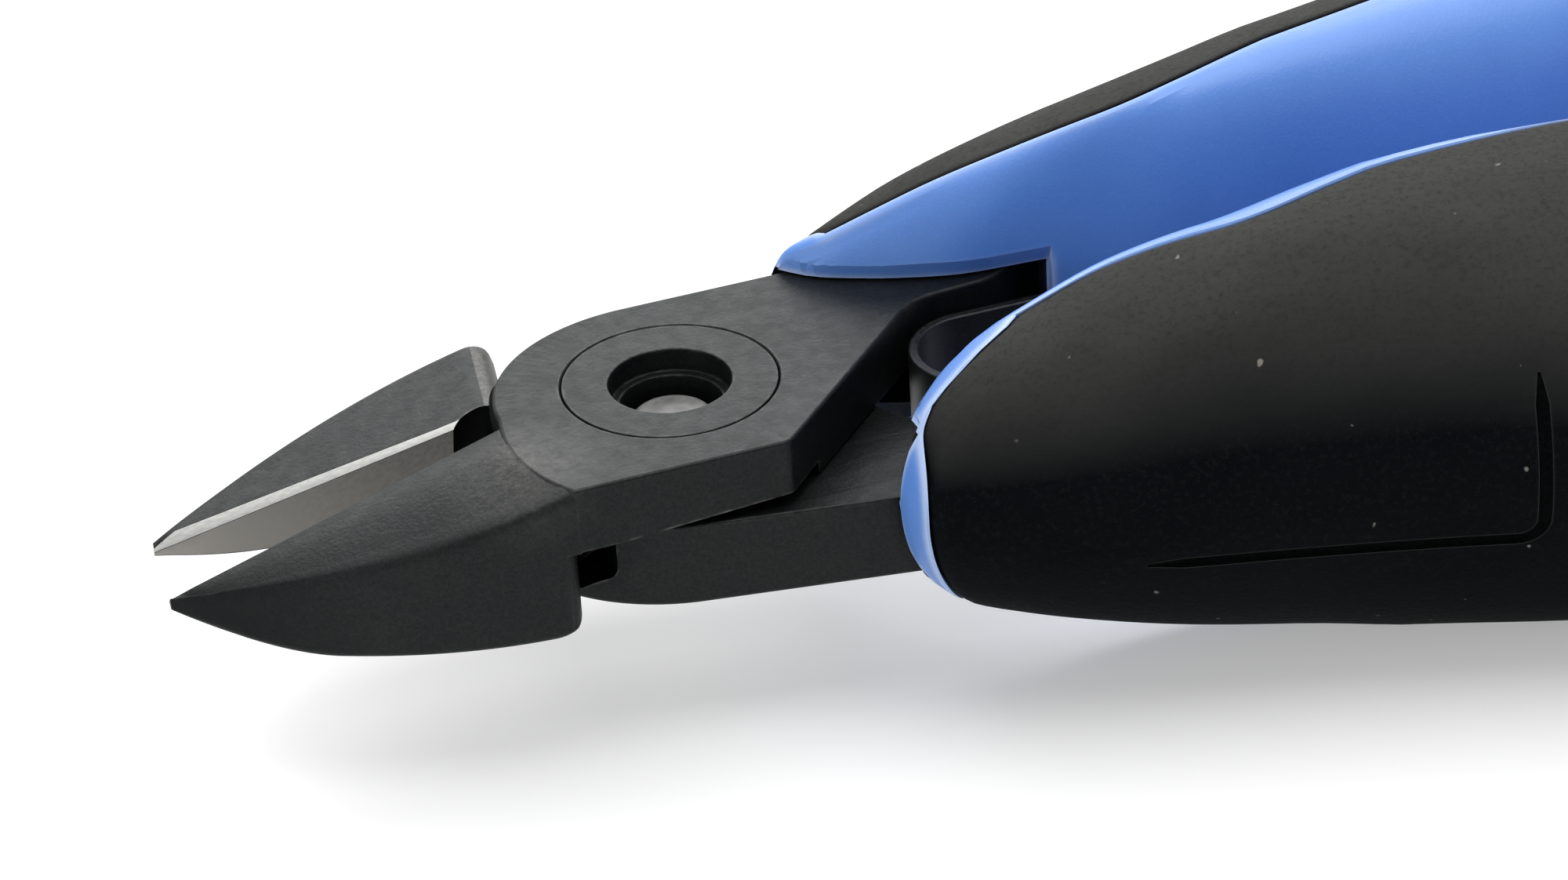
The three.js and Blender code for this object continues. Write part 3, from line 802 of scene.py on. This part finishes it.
def jaw(side):
    """The jaw, from its tip to its back face."""
    back = JAW_BACK[side]
    places = [TIP_X + (back - TIP_X) * (0.5 * t + 0.5 * t * t)
              for t in np.linspace(0, 1, JAW_STATIONS + 1)]
    round_length = max(BACK_ROUND, HEEL[0])
    places = [x for x in places if x < back - round_length - 0.1]
    places += [back - round_length * (1 - math.sin(a)) for a in np.linspace(0, math.pi / 2, 11)]
    rings = [jaw_ring(x, side) for x in places]
    bevel_faces, top_faces, flank_face = range(4, 6), range(9, 26), len(rings[0]) - 1

    def mark(r, i):
        if r == len(places):
            return FORGED
        if i in bevel_faces:
            return BRIGHT
        if i == flank_face:
            return HONED
        rolled = side == LOWER and places[r] > back - BACK_ROUND + 0.2
        return GROUND if rolled and i in top_faces else FORGED

    return skin("jaw", rings, mark=mark)


def lap_clearance(side, z0, z1, soft):
    """What the other half's plate sweeps through, beside the jaw at -y, and the free back corner."""
    back = JAW_BACK[side]
    sweep = [(PLATE_CLEARANCE_R * math.cos(a), PLATE_CLEARANCE_R * math.sin(a)) for a in around(96)]
    behind = [(back, -20), (20, -20), (20, 20), (back, 20)]
    round_x, round_y = back - BACK_CORNER_R, -(jaw_width(back, side) + JAW_EDGE_Y - BACK_CORNER_R)
    arc = [(round_x + BACK_CORNER_R * math.sin(a), round_y - BACK_CORNER_R * math.cos(a))
           for a in np.linspace(math.pi / 2, 0, 13)]
    corner = arc + [(round_x, round_y - 3), (back + 1, round_y - 3), (back + 1, round_y)]
    return [
        prism("sweep", sweep, z0, z1, soft),
        prism("behind", behind, z0, z1, soft),
        prism("corner", corner[::-1], z0, z1),
    ]


def plate_outline():
    """Outline of a plate and its tang, counter-clockwise."""
    outline = filleted([
        (PLATE_SHOULDER, 0.0),
        ((PLATE_CORNER_X, PLATE_SHOULDER[1]), 0.3),
        (SHOULDER_END, 1.2),
        ((TANG_NECK[0][0], TANG_INNER_Y), 0.6),
        (TANG_NECK[1], 0.6),
        ((TANG_END_X, TANG_NECK[1][1]), 0.8),
        ((TANG_END_X, TANG_OUTER_Y), 0.8),
    ], 6)
    for angle in np.linspace(math.pi / 2, math.pi, 40):
        outline.append((PLATE_NOSE_X * math.cos(angle), PLATE_HALF_WIDTH * math.sin(angle)))
    outline += bezier((-PLATE_NOSE_X, 0.0), PLATE_BULGE, PLATE_SHOULDER, 16)[1:-1]
    return outline


def bolt_space(z_open, z_ledge, z_through):
    """Room for a bolt head and shank. The head goes in from z_open."""
    head_r, shank_r = BOLT_R + 0.06, SHANK_R + SLIT
    way = 1 if z_open > z_ledge else -1
    return lathe("space", [
        (AXIS_R, z_open + way), (head_r + 0.2, z_open + way), (head_r + 0.1, z_open + way * 0.04),
        (head_r, z_open - way * 0.06), (head_r, z_ledge), (shank_r, z_ledge), (shank_r, z_through),
        (AXIS_R, z_through),
    ])


def pin_holes():
    r = PIN_R + SLIT
    return [prism("hole", [(x + r * math.cos(a), PIN_Y + r * math.sin(a)) for a in around(32)],
                  -HEAD_TOP - 1, HEAD_TOP + 1) for x in PIN_X]


def upper_half():
    floor = LAP_Z + SLIT / 2
    body = cut(jaw(UPPER), *lap_clearance(UPPER, -HEAD_TOP - 2, floor, (0.0, 0.5)))
    (x0, z0), (x1, z1) = SEAM_WEDGE
    wedge = skin("wedge", [[(x0, y, z0), (x1, y, z0 - 0.2), (x1, y, z1), (x0, y, z0 + 0.002)]
                           for y in (-9.0, -3.0)])
    plate = prism("plate", plate_outline(), floor, HEAD_TOP, (0.1, 0.16))
    body = cut(join(body, plate), wedge)
    space = bolt_space(HEAD_TOP, HEAD_TOP - BOLT_DEPTH - SLIT, -1.0)
    return cut(body, space, *pin_holes())


def lower_half():
    ceiling = LAP_Z - SLIT / 2
    throat = [[(THROAT_X + THROAT_R * math.cos(a), y + THROAT_R * math.sin(a), z)
               for a in around(48)] for z, y in THROAT_LEAN]
    body = cut(jaw(LOWER), *lap_clearance(LOWER, ceiling, HEAD_TOP + 2, (0.4, 0.0)))
    body = cut(body, skin("throat", throat, mark=lambda r, i: SCALE))
    body = join(body, prism("plate", plate_outline(), -HEAD_TOP, ceiling, (0.3, 0.12)))
    space = bolt_space(-HEAD_TOP, -HEAD_TOP + BOLT_DEPTH + SLIT, 1.0)
    section = filleted([(corner, 0.5) for corner in NOTCH])
    notch = skin("notch", [[(x, y, z) for x, z in section] for y in NOTCH_Y], mark=lambda r, i: SCALE)
    return cut(body, space, notch, *pin_holes())


# ---------- joint fasteners ----------


def joint_bolt():
    """A sleeve with a flange, flush with the plate, and a ledge in its bore."""
    low = -HEAD_TOP + BOLT_DEPTH + SLIT
    ledge_z = HEAD_TOP - LEDGE_DEPTH
    return lathe("joint_bolt_turned", turned_profile([
        ((BORE_R, HEAD_TOP), 0.1), ((BOLT_R, HEAD_TOP), 0.07), ((BOLT_R, HEAD_TOP - BOLT_DEPTH), 0.05),
        ((SHANK_R, HEAD_TOP - BOLT_DEPTH), 0.05), ((SHANK_R, low), 0.1), ((LEDGE_R, low), 0.1),
        ((LEDGE_R, ledge_z), 0.06), ((BORE_R, ledge_z), 0.08),
    ]), segments=128)


def joint_lock_screw():
    """The screw from below, whose stud shows in the bolt's bore."""
    head_top = -HEAD_TOP + BOLT_DEPTH
    screw = lathe("joint_lock_screw_turned", turned_profile([
        ((AXIS_R, STUD_TOP_Z), 0.0), ((STUD_R, STUD_TOP_Z), 0.22), ((STUD_R, head_top), 0.05),
        ((BOLT_R, head_top), 0.05), ((BOLT_R, -HEAD_TOP), 0.12), ((AXIS_R, -HEAD_TOP), 0.0),
    ]), segments=96)
    width, depth = DRIVE_SLOT
    slot = block("slot", -6, 6, -width / 2, width / 2, -HEAD_TOP - 1, -HEAD_TOP + depth)
    return cut(screw, slot)


# ---------- grips ----------


def swept(x, y, height, side):
    """Puts a point of a grip's section in the half frame: the nose leans back with height."""
    fade = max(0.0, (NOSE_SWEEP_END - x) / (NOSE_SWEEP_END - SLEEVE_START_X))
    lean = NOSE_SWEEP["photographed" if height * side > 0 else "other"]
    return (x + lean * fade * height * height, y, max(GRIP_MID_Z + height, REST_Z + 0.001))


def bent(curve, x, side):
    """Points of curve(x) as (x, y, height), with its upper half bent forward and then back."""
    nose_x = NOSE_STATIONS[side][0][0]
    into = smoothstep((x - nose_x) / (SLEEVE_START_X - nose_x))
    out = 1 - smoothstep((x - SLEEVE_START_X) / (NOSE_SWEEP_END - SLEEVE_START_X))
    forward, far = SEAM_BEND[side]
    plain = curve(x)
    points = []
    for k, point in enumerate(plain):
        share = max(2 * k / (len(plain) - 1) - 1, 0.0)
        bend = (far * smoothstep((share - SEAM_BEND_BACK_FROM) / (1 - SEAM_BEND_BACK_FROM))
                - forward * smoothstep(share / SEAM_BEND_FORWARD_TO))
        back = bend * into * out
        points.append((x + back, *(curve(x + back)[k] if abs(back) > 0.002 else point)))
    return points


def side_curve(line_y, side_y, half_height, power, count, shift):
    """Curve from the bottom line round one side to the top line, evenly spaced, as (y, height)."""
    angle = np.linspace(-math.pi / 2, math.pi / 2, 241)
    across = np.abs(np.cos(angle)) ** (2 / power)
    across[[0, -1]] = 0.0
    line = line_y + shift * np.maximum(np.sin(angle), 0.0)
    y = line + (side_y - line) * across
    height = np.sign(angle) * half_height * np.abs(np.sin(angle)) ** (2 / power)
    run = np.concatenate([[0], np.cumsum(np.hypot(np.diff(y), np.diff(height)))])
    at = np.linspace(0, run[-1], count)
    return np.stack([np.interp(at, run, y), np.interp(at, run, height)], 1)


def grip_reader(side):
    """Reads a grip's section at x: half height, inner y, line y, outer y, and the top line's shift."""
    section = smooth_table(NOSE_STATIONS[side] + GRIP_STATIONS)

    def read(x):
        shifts = (distance * smoothstep((x - start) / (end - start))
                  for start, end, distance in TOP_LINE_SHIFTS[side])
        return (*section(x), sum(shifts))

    return read


def rim_depth(x):
    """How far the inner face of the nose lies below its rim."""
    start, end = RIM_FADE
    return RIM_DEPTH * (1 - smoothstep((x - start) / (end - start)))


def core_ring(x, side, covered, tuck=0.0, edge=0.0):
    """Section of a core. covered leaves room for the sleeve.

    tuck shrinks all of the section, and edge its outside only.
    """
    read = grip_reader(side)

    def inner(at):
        half, inner_y, line_y, _, shift = read(at)
        curve = side_curve(line_y, inner_y + tuck, half - SHRINK - tuck,
                           INNER_POWER, INNER_COUNT, shift)
        place_in = np.arange(INNER_COUNT)
        depth = rim_depth(at) * (np.minimum(place_in, place_in[::-1]) > RIM_PLACES)
        away = np.array([line_y + shift / 2, 0.0]) - curve
        return curve + away * (depth / np.maximum(np.linalg.norm(away, axis=1), 1e-6))[:, None]

    def outer(at):
        half, _, line_y, outer_y, shift = read(at)
        if covered:
            wall = SLEEVE_WALL + SHRINK
            return side_curve(line_y, outer_y - wall, half - wall, OUTER_POWER, OUTER_COUNT, shift)
        less = SHRINK + tuck + edge
        return side_curve(line_y + SLIT, outer_y - less, half - less, OUTER_POWER, OUTER_COUNT, shift)

    corners = [(point, 0.0) for point in bent(inner, x, side) + bent(outer, x, side)[::-1]]
    for k in (0, INNER_COUNT - 1):
        corners[k] = (corners[k][0], LINE_SOFT)
    return [swept(*point, side) for point in filleted(corners, 3)]


def stations(start, end, step):
    """Places from start to end, about a step apart."""
    count = max(2, int(round((end - start) / step)))
    return list(np.linspace(start, end, count + 1))


def grip_core(side):
    nose_x = NOSE_STATIONS[side][0][0]
    rings = [core_ring(nose_x + d, side, False, t) for d, t in CORE_NOSE]
    rings += [core_ring(x, side, False) for x in stations(nose_x + 0.5, SLEEVE_START_X - 0.1, 0.35)]
    rings += [core_ring(SLEEVE_START_X, side, False, edge=0.06)]
    rings += [core_ring(x, side, True) for x in stations(SLEEVE_START_X + 0.01, 24.0, 0.6)]
    rings += [core_ring(x, side, True) for x in stations(25.0, SLEEVE_END_X + SLIT, 1.8)]
    rings += [core_ring(SLEEVE_END_X + SLIT + 0.01, side, False, edge=0.12)]
    tail = stations(SLEEVE_END_X + SLIT + 0.15, GRIP_STATIONS[-1][0], 0.5)
    rings += [core_ring(x, side, False) for x in tail]
    core = skin(f"{LABEL[side]}_grip_core_moulded", rings)
    return cut(core, *grip_hollows(side))


def lip_cutter(side):
    """A chamfer round the mouth: it follows the inner face and leaves a lip above it."""
    read = grip_reader(side)
    rings = []
    for x in stations(4.0, LIP_END_X, 0.5):
        face = []
        for height, depth in LIP_PROFILE:
            height *= LIP_HALF_HEIGHT
            at = max(2 * x - swept(x, 0.0, height, side)[0], NOSE_STATIONS[side][0][0])
            half, inner_y, line_y, _, _ = read(at)
            share = min(abs(height) / half, 0.999)
            angle = math.asin(share ** (INNER_POWER / 2))
            y = line_y + (inner_y - line_y) * math.cos(angle) ** (2 / INNER_POWER)
            face.append((x, y + LIP_DEPTH * depth, GRIP_MID_Z + height))
        low, high = ((x, -6.0, GRIP_MID_Z + h) for h in (-LIP_HALF_HEIGHT, LIP_HALF_HEIGHT))
        rings.append([low] + face + [high])
    # the lower part of the chamfer is painted shade
    return skin("lip", rings, mark=lambda r, i: PAINTED_SHADE if 1 <= i <= 3 else 0)


def marked(obj, mark):
    """Numbers all of an object's faces."""
    obj.data.polygons.foreach_set("material_index", [mark] * len(obj.data.polygons))
    return obj


def grip_hollows(side):
    """What is cut from a core: its mouth, and room for the tang, the spring and the screws."""
    mid = GRIP_MID_Z
    mouth_z = (mid - MOUTH_HALF_HEIGHT, mid + MOUTH_HALF_HEIGHT)
    seat_z = (mid - SEAT_HALF_HEIGHT, mid + SEAT_HALF_HEIGHT)
    tang_z = (LAP_Z - SLIT, HEAD_TOP + SLIT) if side == UPPER else (-HEAD_TOP - SLIT, LAP_Z + SLIT)
    screw_z = mid - side * SPRING_SCREW_OFFSET
    tang_y = (TANG_NECK[1][1] - SLIT, TANG_OUTER_Y + 0.3)
    return [
        lip_cutter(side),
        # the mouth and the room for the tang are painted shade
        marked(block("mouth", 0, MOUTH_END_X, -6, tang_y[1], *mouth_z), PAINTED_SHADE),
        marked(block("mouth", 0, MOUTH_END_X, -6, tang_y[1], *tang_z), PAINTED_SHADE),
        marked(block("tang", MOUTH_END_X - 1, TANG_END_X + SLIT, *tang_y, *tang_z), PAINTED_SHADE),
        block("seat", MOUTH_END_X - 1, SEAT_END_X, -6, SEAT_FLOOR_Y, *seat_z),
        rod("screw", SPRING_SCREW_X, screw_z, 0, SPRING_SCREW_END_Y + SLIT, SPRING_SCREW_R + SLIT),
        rod("screw", WIDTH_SCREW_X, mid, -2, TANG_NECK[1][1], WIDTH_SCREW_R + SLIT),
    ]


def sleeve_ring(x, side, tuck=0.0):
    """Section of a sleeve, from its lining to its skin. tuck shrinks the skin."""
    read = grip_reader(side)

    def shell(less):
        def curve(at):
            half, _, line_y, outer_y, shift = read(at)
            return side_curve(line_y + SLEEVE_LINE_GAP, outer_y - less, half - less,
                              OUTER_POWER, OUTER_COUNT, shift)
        return bent(curve, x, side)

    corners = [(p, 0.0) for p in shell(SLEEVE_WALL + SHRINK - SLIT) + shell(SHRINK + tuck)[::-1]]
    for k in (OUTER_COUNT, -1):
        corners[k] = (corners[k][0], LINE_SOFT)
    return [swept(*point, side) for point in filleted(corners, 4)]


def grip_sleeve(side):
    start = SLEEVE_START_X + SLIT
    rings = [sleeve_ring(start + d, side, t) for d, t in SLEEVE_ENDS]
    rings += [sleeve_ring(x, side) for x in stations(start + 0.7, 24.0, 0.6)]
    rings += [sleeve_ring(x, side) for x in stations(25.0, SLEEVE_END_X - 1.0, 1.5)]
    rings += [sleeve_ring(SLEEVE_END_X - d, side, t) for d, t in SLEEVE_ENDS[::-1]]
    sleeve = skin(f"{LABEL[side]}_grip_sleeve_moulded", rings)
    return cut(sleeve, groove(side))


def groove(side):
    """The line moulded into the sleeve: along the lower side, round a corner and up."""
    (x0, x1), (h0, h1) = GROOVE_X, GROOVE_HEIGHT
    bend = GROOVE_BEND
    route = [(x, h0) for x in np.linspace(x0, x1 - bend, 30)]
    route += [(x1 - bend + bend * math.sin(a), h0 + bend - bend * math.cos(a))
              for a in np.linspace(0.2, math.pi / 2, 7)]
    route += [(x1, h) for h in np.linspace(h0 + bend + 0.4, h1, 16)]
    read = grip_reader(side)
    path = []
    for x, height in route:
        half, _, line_y, outer_y, shift = read(x)
        sine = min(abs(height) / (half - SHRINK), 0.999) ** (OUTER_POWER / 2)
        line_y += SLEEVE_LINE_GAP + shift * (sine if height > 0 else 0.0)
        y = line_y + (outer_y - SHRINK - line_y) * math.cos(math.asin(sine)) ** (2 / OUTER_POWER)
        path.append(np.array(swept(x, y + 0.02, height, side)))
    rings = []
    for i, point in enumerate(path):
        ahead = path[min(i + 1, len(path) - 1)] - path[max(i - 1, 0)]
        ahead /= np.linalg.norm(ahead)
        across = np.cross(ahead, (0.0, 1.0, 0.0))
        across /= np.linalg.norm(across)
        out = np.cross(across, ahead)
        fade = min(1.0, 0.25 + 0.25 * min(i, len(path) - 1 - i))
        ring = []
        for a in around(10):
            ring.append(point + GROOVE_R * fade * (across * math.cos(a) + 1.5 * out * math.sin(a)))
        rings.append(ring)
    # the groove is painted shade
    return skin("groove", rings, mark=lambda r, i: PAINTED_SHADE)


# ---------- spring and small screws ----------


def return_spring():
    """A flat strip bent to a hairpin, drawn open along the CAD's axes, in mm from the pivot."""
    c, s = math.cos(OPEN_HALF), math.sin(OPEN_HALF)
    rear, front = (np.array((x * c - SPRING_Y * s, x * s + SPRING_Y * c))
                   for x in (SPRING_END_X, SPRING_BEND_X))
    leg = [rear + (front - rear) * t for t in np.linspace(0, 1, 30)]
    bend = [np.array((front[0] + front[1] * math.cos(a), front[1] * math.sin(a)))
            for a in np.linspace(math.pi / 2, math.pi, 16)[1:]]
    half = leg + bend
    line = half + [p * (1, -1) for p in half[-2::-1]]
    thin = SPRING_THICKNESS / 2
    low, high = GRIP_MID_Z - SPRING_HALF_HEIGHT, GRIP_MID_Z + SPRING_HALF_HEIGHT
    corners = [(-thin, low), (thin, low), (thin, high), (-thin, high)]
    section = filleted([(corner, SPRING_SOFT) for corner in corners], 3)
    rings = []
    for i, point in enumerate(line):
        ahead = line[min(i + 1, len(line) - 1)] - line[max(i - 1, 0)]
        ahead /= np.linalg.norm(ahead)
        out = np.array((-ahead[1], ahead[0])) * SPRING_THICKNESS / 2
        rings.append([(point[0] + out[0] * t / thin, point[1] + out[1] * t / thin, z)
                      for t, z in section])
    strip = skin("return_spring_strip", rings)
    for side in (UPPER, LOWER):
        hole_z = GRIP_MID_Z - side * SPRING_SCREW_OFFSET
        hole = rod("hole", SPRING_SCREW_X, hole_z, 0.8, 2.8, SPRING_SCREW_R + SLIT)
        turn = Matrix.Rotation(OPEN_HALF * side, 4, "Z")
        hole.data.transform(turn @ Matrix.Diagonal((1, side, 1, 1)))
        if side < 0:
            hole.data.flip_normals()
        cut(strip, hole)
    return strip


def spring_screw(side):
    """Pan head screw with a drive slot, along y."""
    z = GRIP_MID_Z - side * SPRING_SCREW_OFFSET
    head0, head1 = SPRING_SCREW_HEAD
    end_y = SPRING_SCREW_END_Y
    profile = [(0.25, head0 + 0.02), (0.6, head0 + 0.05), (0.95, head0 + 0.14), (1.17, head0 + 0.3),
               (SPRING_SCREW_HEAD_R, head0 + 0.48), (SPRING_SCREW_HEAD_R, head1),
               (SPRING_SCREW_R, head1), (SPRING_SCREW_R, end_y - 0.5), (0.25, end_y)]
    screw = bar(f"{LABEL[side]}_spring_screw_turned", SPRING_SCREW_X, z, profile, 40)
    slot = block("slot", SPRING_SCREW_X - 0.16, SPRING_SCREW_X + 0.16,
                 head0 - 1, head0 + 0.32, z - 2, z + 2)
    return cut(screw, slot)


def width_screw(side):
    """Set screw with a hexagon socket and a threaded shank."""
    y0, y1 = WIDTH_SCREW_Y
    levels = [(0.0, -0.22), (0.18, -0.02)]  # distance along, and change of radius
    threads = np.linspace(0.35, y1 - y0 - 0.3, 13)
    levels += [(t, -0.02 if k % 2 else -0.16) for k, t in enumerate(threads)]
    levels += [(y1 - y0, -0.3)]
    screw = bar(f"{LABEL[side]}_width_screw_turned", WIDTH_SCREW_X, GRIP_MID_Z,
                [(WIDTH_SCREW_R + depth, y0 + along) for along, depth in levels], 60)
    socket = rod("hex", WIDTH_SCREW_X, GRIP_MID_Z, y0 - 1, y0 + HEX_DEPTH, HEX_R, segments=6)
    return cut(screw, socket)


# ---------- the object ----------

STEEL = [dark_steel(), polished_steel(), ground_steel(), honed_steel(), black_scale()]
SCREW = screw_steel()
# the core's second material is painted shade
CORE = [blue_plastic(), painted_shade_plastic()]
# the sleeve's groove takes the black scale as painted shade
SLEEVE = [black_rubber(), STEEL[SCALE]]
SPRING = spring_steel()

upper = upper_half()
upper.name = "upper_jaw_half_forged"
finished(upper, UPPER, "right_side", "upper_jaw_half", STEEL)
lower = lower_half()
lower.name = "lower_jaw_half_forged"
finished(lower, LOWER, "left_side", "lower_jaw_half", STEEL)
finished(joint_bolt(), LOWER, "left_side", "joint_bolt", [STEEL[FORGED]])
finished(joint_lock_screw(), LOWER, "left_side", "joint_lock_screw", [SCREW])

for grip in (UPPER, LOWER):
    label, body = LABEL[grip], BODY[grip]
    finished(grip_core(grip), grip, body, f"{label}_grip_core", CORE, 20)
    finished(grip_sleeve(grip), grip, body, f"{label}_grip_sleeve", SLEEVE, 50)
    finished(spring_screw(grip), grip, body, f"{label}_spring_screw", [SCREW])
    screw = f"{label}_width_screw"
    finished(width_screw(grip), grip, screw, screw, [SCREW])
    for place_name in ("front", "rear"):  # the pins stay the CAD's own
        pin = frame["nodes"][f"{label}_tang_pin_{place_name}"]
        pin.data.materials.clear()
        pin.data.materials.append(SCREW)

spring = return_spring()
spring.data.transform(Matrix.Translation(PIVOT) @ Matrix.Scale(MM, 4))
dress(spring, [SPRING], 35)
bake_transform(spring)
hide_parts("return_spring")

# ---------- floor, light and camera ----------

FLOOR_SIZE = 4.0
FLOOR_DROP = 0.0002  # clear of the grips' flat undersides


def floor():
    """A pale floor with a little light of its own, which keeps the shadow soft."""
    half = FLOOR_SIZE / 2
    corners = [(-half, -half, 0), (half, -half, 0), (half, half, 0), (-half, half, 0)]
    plane = new_object("floor", corners, [(0, 1, 2, 3)])
    shader = Shader("pale_floor")
    base = shader.mix(shader.noise(400.0, 2), (0.59, 0.59, 0.59), (0.61, 0.61, 0.61))
    shader.cover(base, 0.9, specular=0.1)
    shader.put("Emission Strength", 0.33)
    plane.data.materials.append(shader.material)
    plane.location.z = -FLOOR_DROP


def softbox(name, place_at, size, power):
    """A rectangular light that faces the middle of the tool."""
    light = bpy.data.lights.new(name, "AREA")
    light.shape = "RECTANGLE"
    light.size, light.size_y = size
    light.energy = power
    obj = bpy.data.objects.new(name, light)
    bpy.context.scene.collection.objects.link(obj)
    obj.location = place_at
    obj.rotation_mode = "QUATERNION"
    obj.rotation_quaternion = (-Vector(place_at)).to_track_quat("-Z", "Y")


def world(strength):
    """Even white light from all round."""
    sky = bpy.data.worlds.new("studio")
    sky.use_nodes = True
    background = sky.node_tree.nodes["Background"]
    background.inputs["Color"].default_value = (1.0, 1.0, 1.0, 1.0)
    background.inputs["Strength"].default_value = strength
    bpy.context.scene.world = sky


# fitted to the photo: place from the pivot in millimetres, its right, up and back, and its lens
CAMERA_OFFSET = (-40.7247, -199.9291, 123.7093)
CAMERA_AXES = (
    (0.96537974, -0.25492912, -0.05525484),
    (0.17811548, 0.48947634, 0.85363211),
    (-0.19056975, -0.83392089, 0.51793737),
)
CAMERA_LENS = 123.73


def camera():
    lens = bpy.data.cameras.new("camera")
    lens.lens = CAMERA_LENS
    lens.sensor_width = 36.0
    lens.clip_start, lens.clip_end = 0.01, 20.0
    obj = bpy.data.objects.new("camera", lens)
    bpy.context.scene.collection.objects.link(obj)
    turn = Matrix(CAMERA_AXES).transposed().to_4x4()
    obj.matrix_world = Matrix.Translation(PIVOT + Vector(CAMERA_OFFSET) * MM) @ turn
    bpy.context.scene.camera = obj


floor()
world(0.55)
softbox("overhead", (0.0, 0.05, 0.9), (0.9, 0.9), 9.0)
softbox("left", (-0.9, -0.35, 0.3), (0.5, 0.5), 1.6)
softbox("back", (0.15, 0.9, 0.55), (1.0, 0.6), 7.5)
camera()
bpy.context.scene.view_settings.view_transform = "Standard"
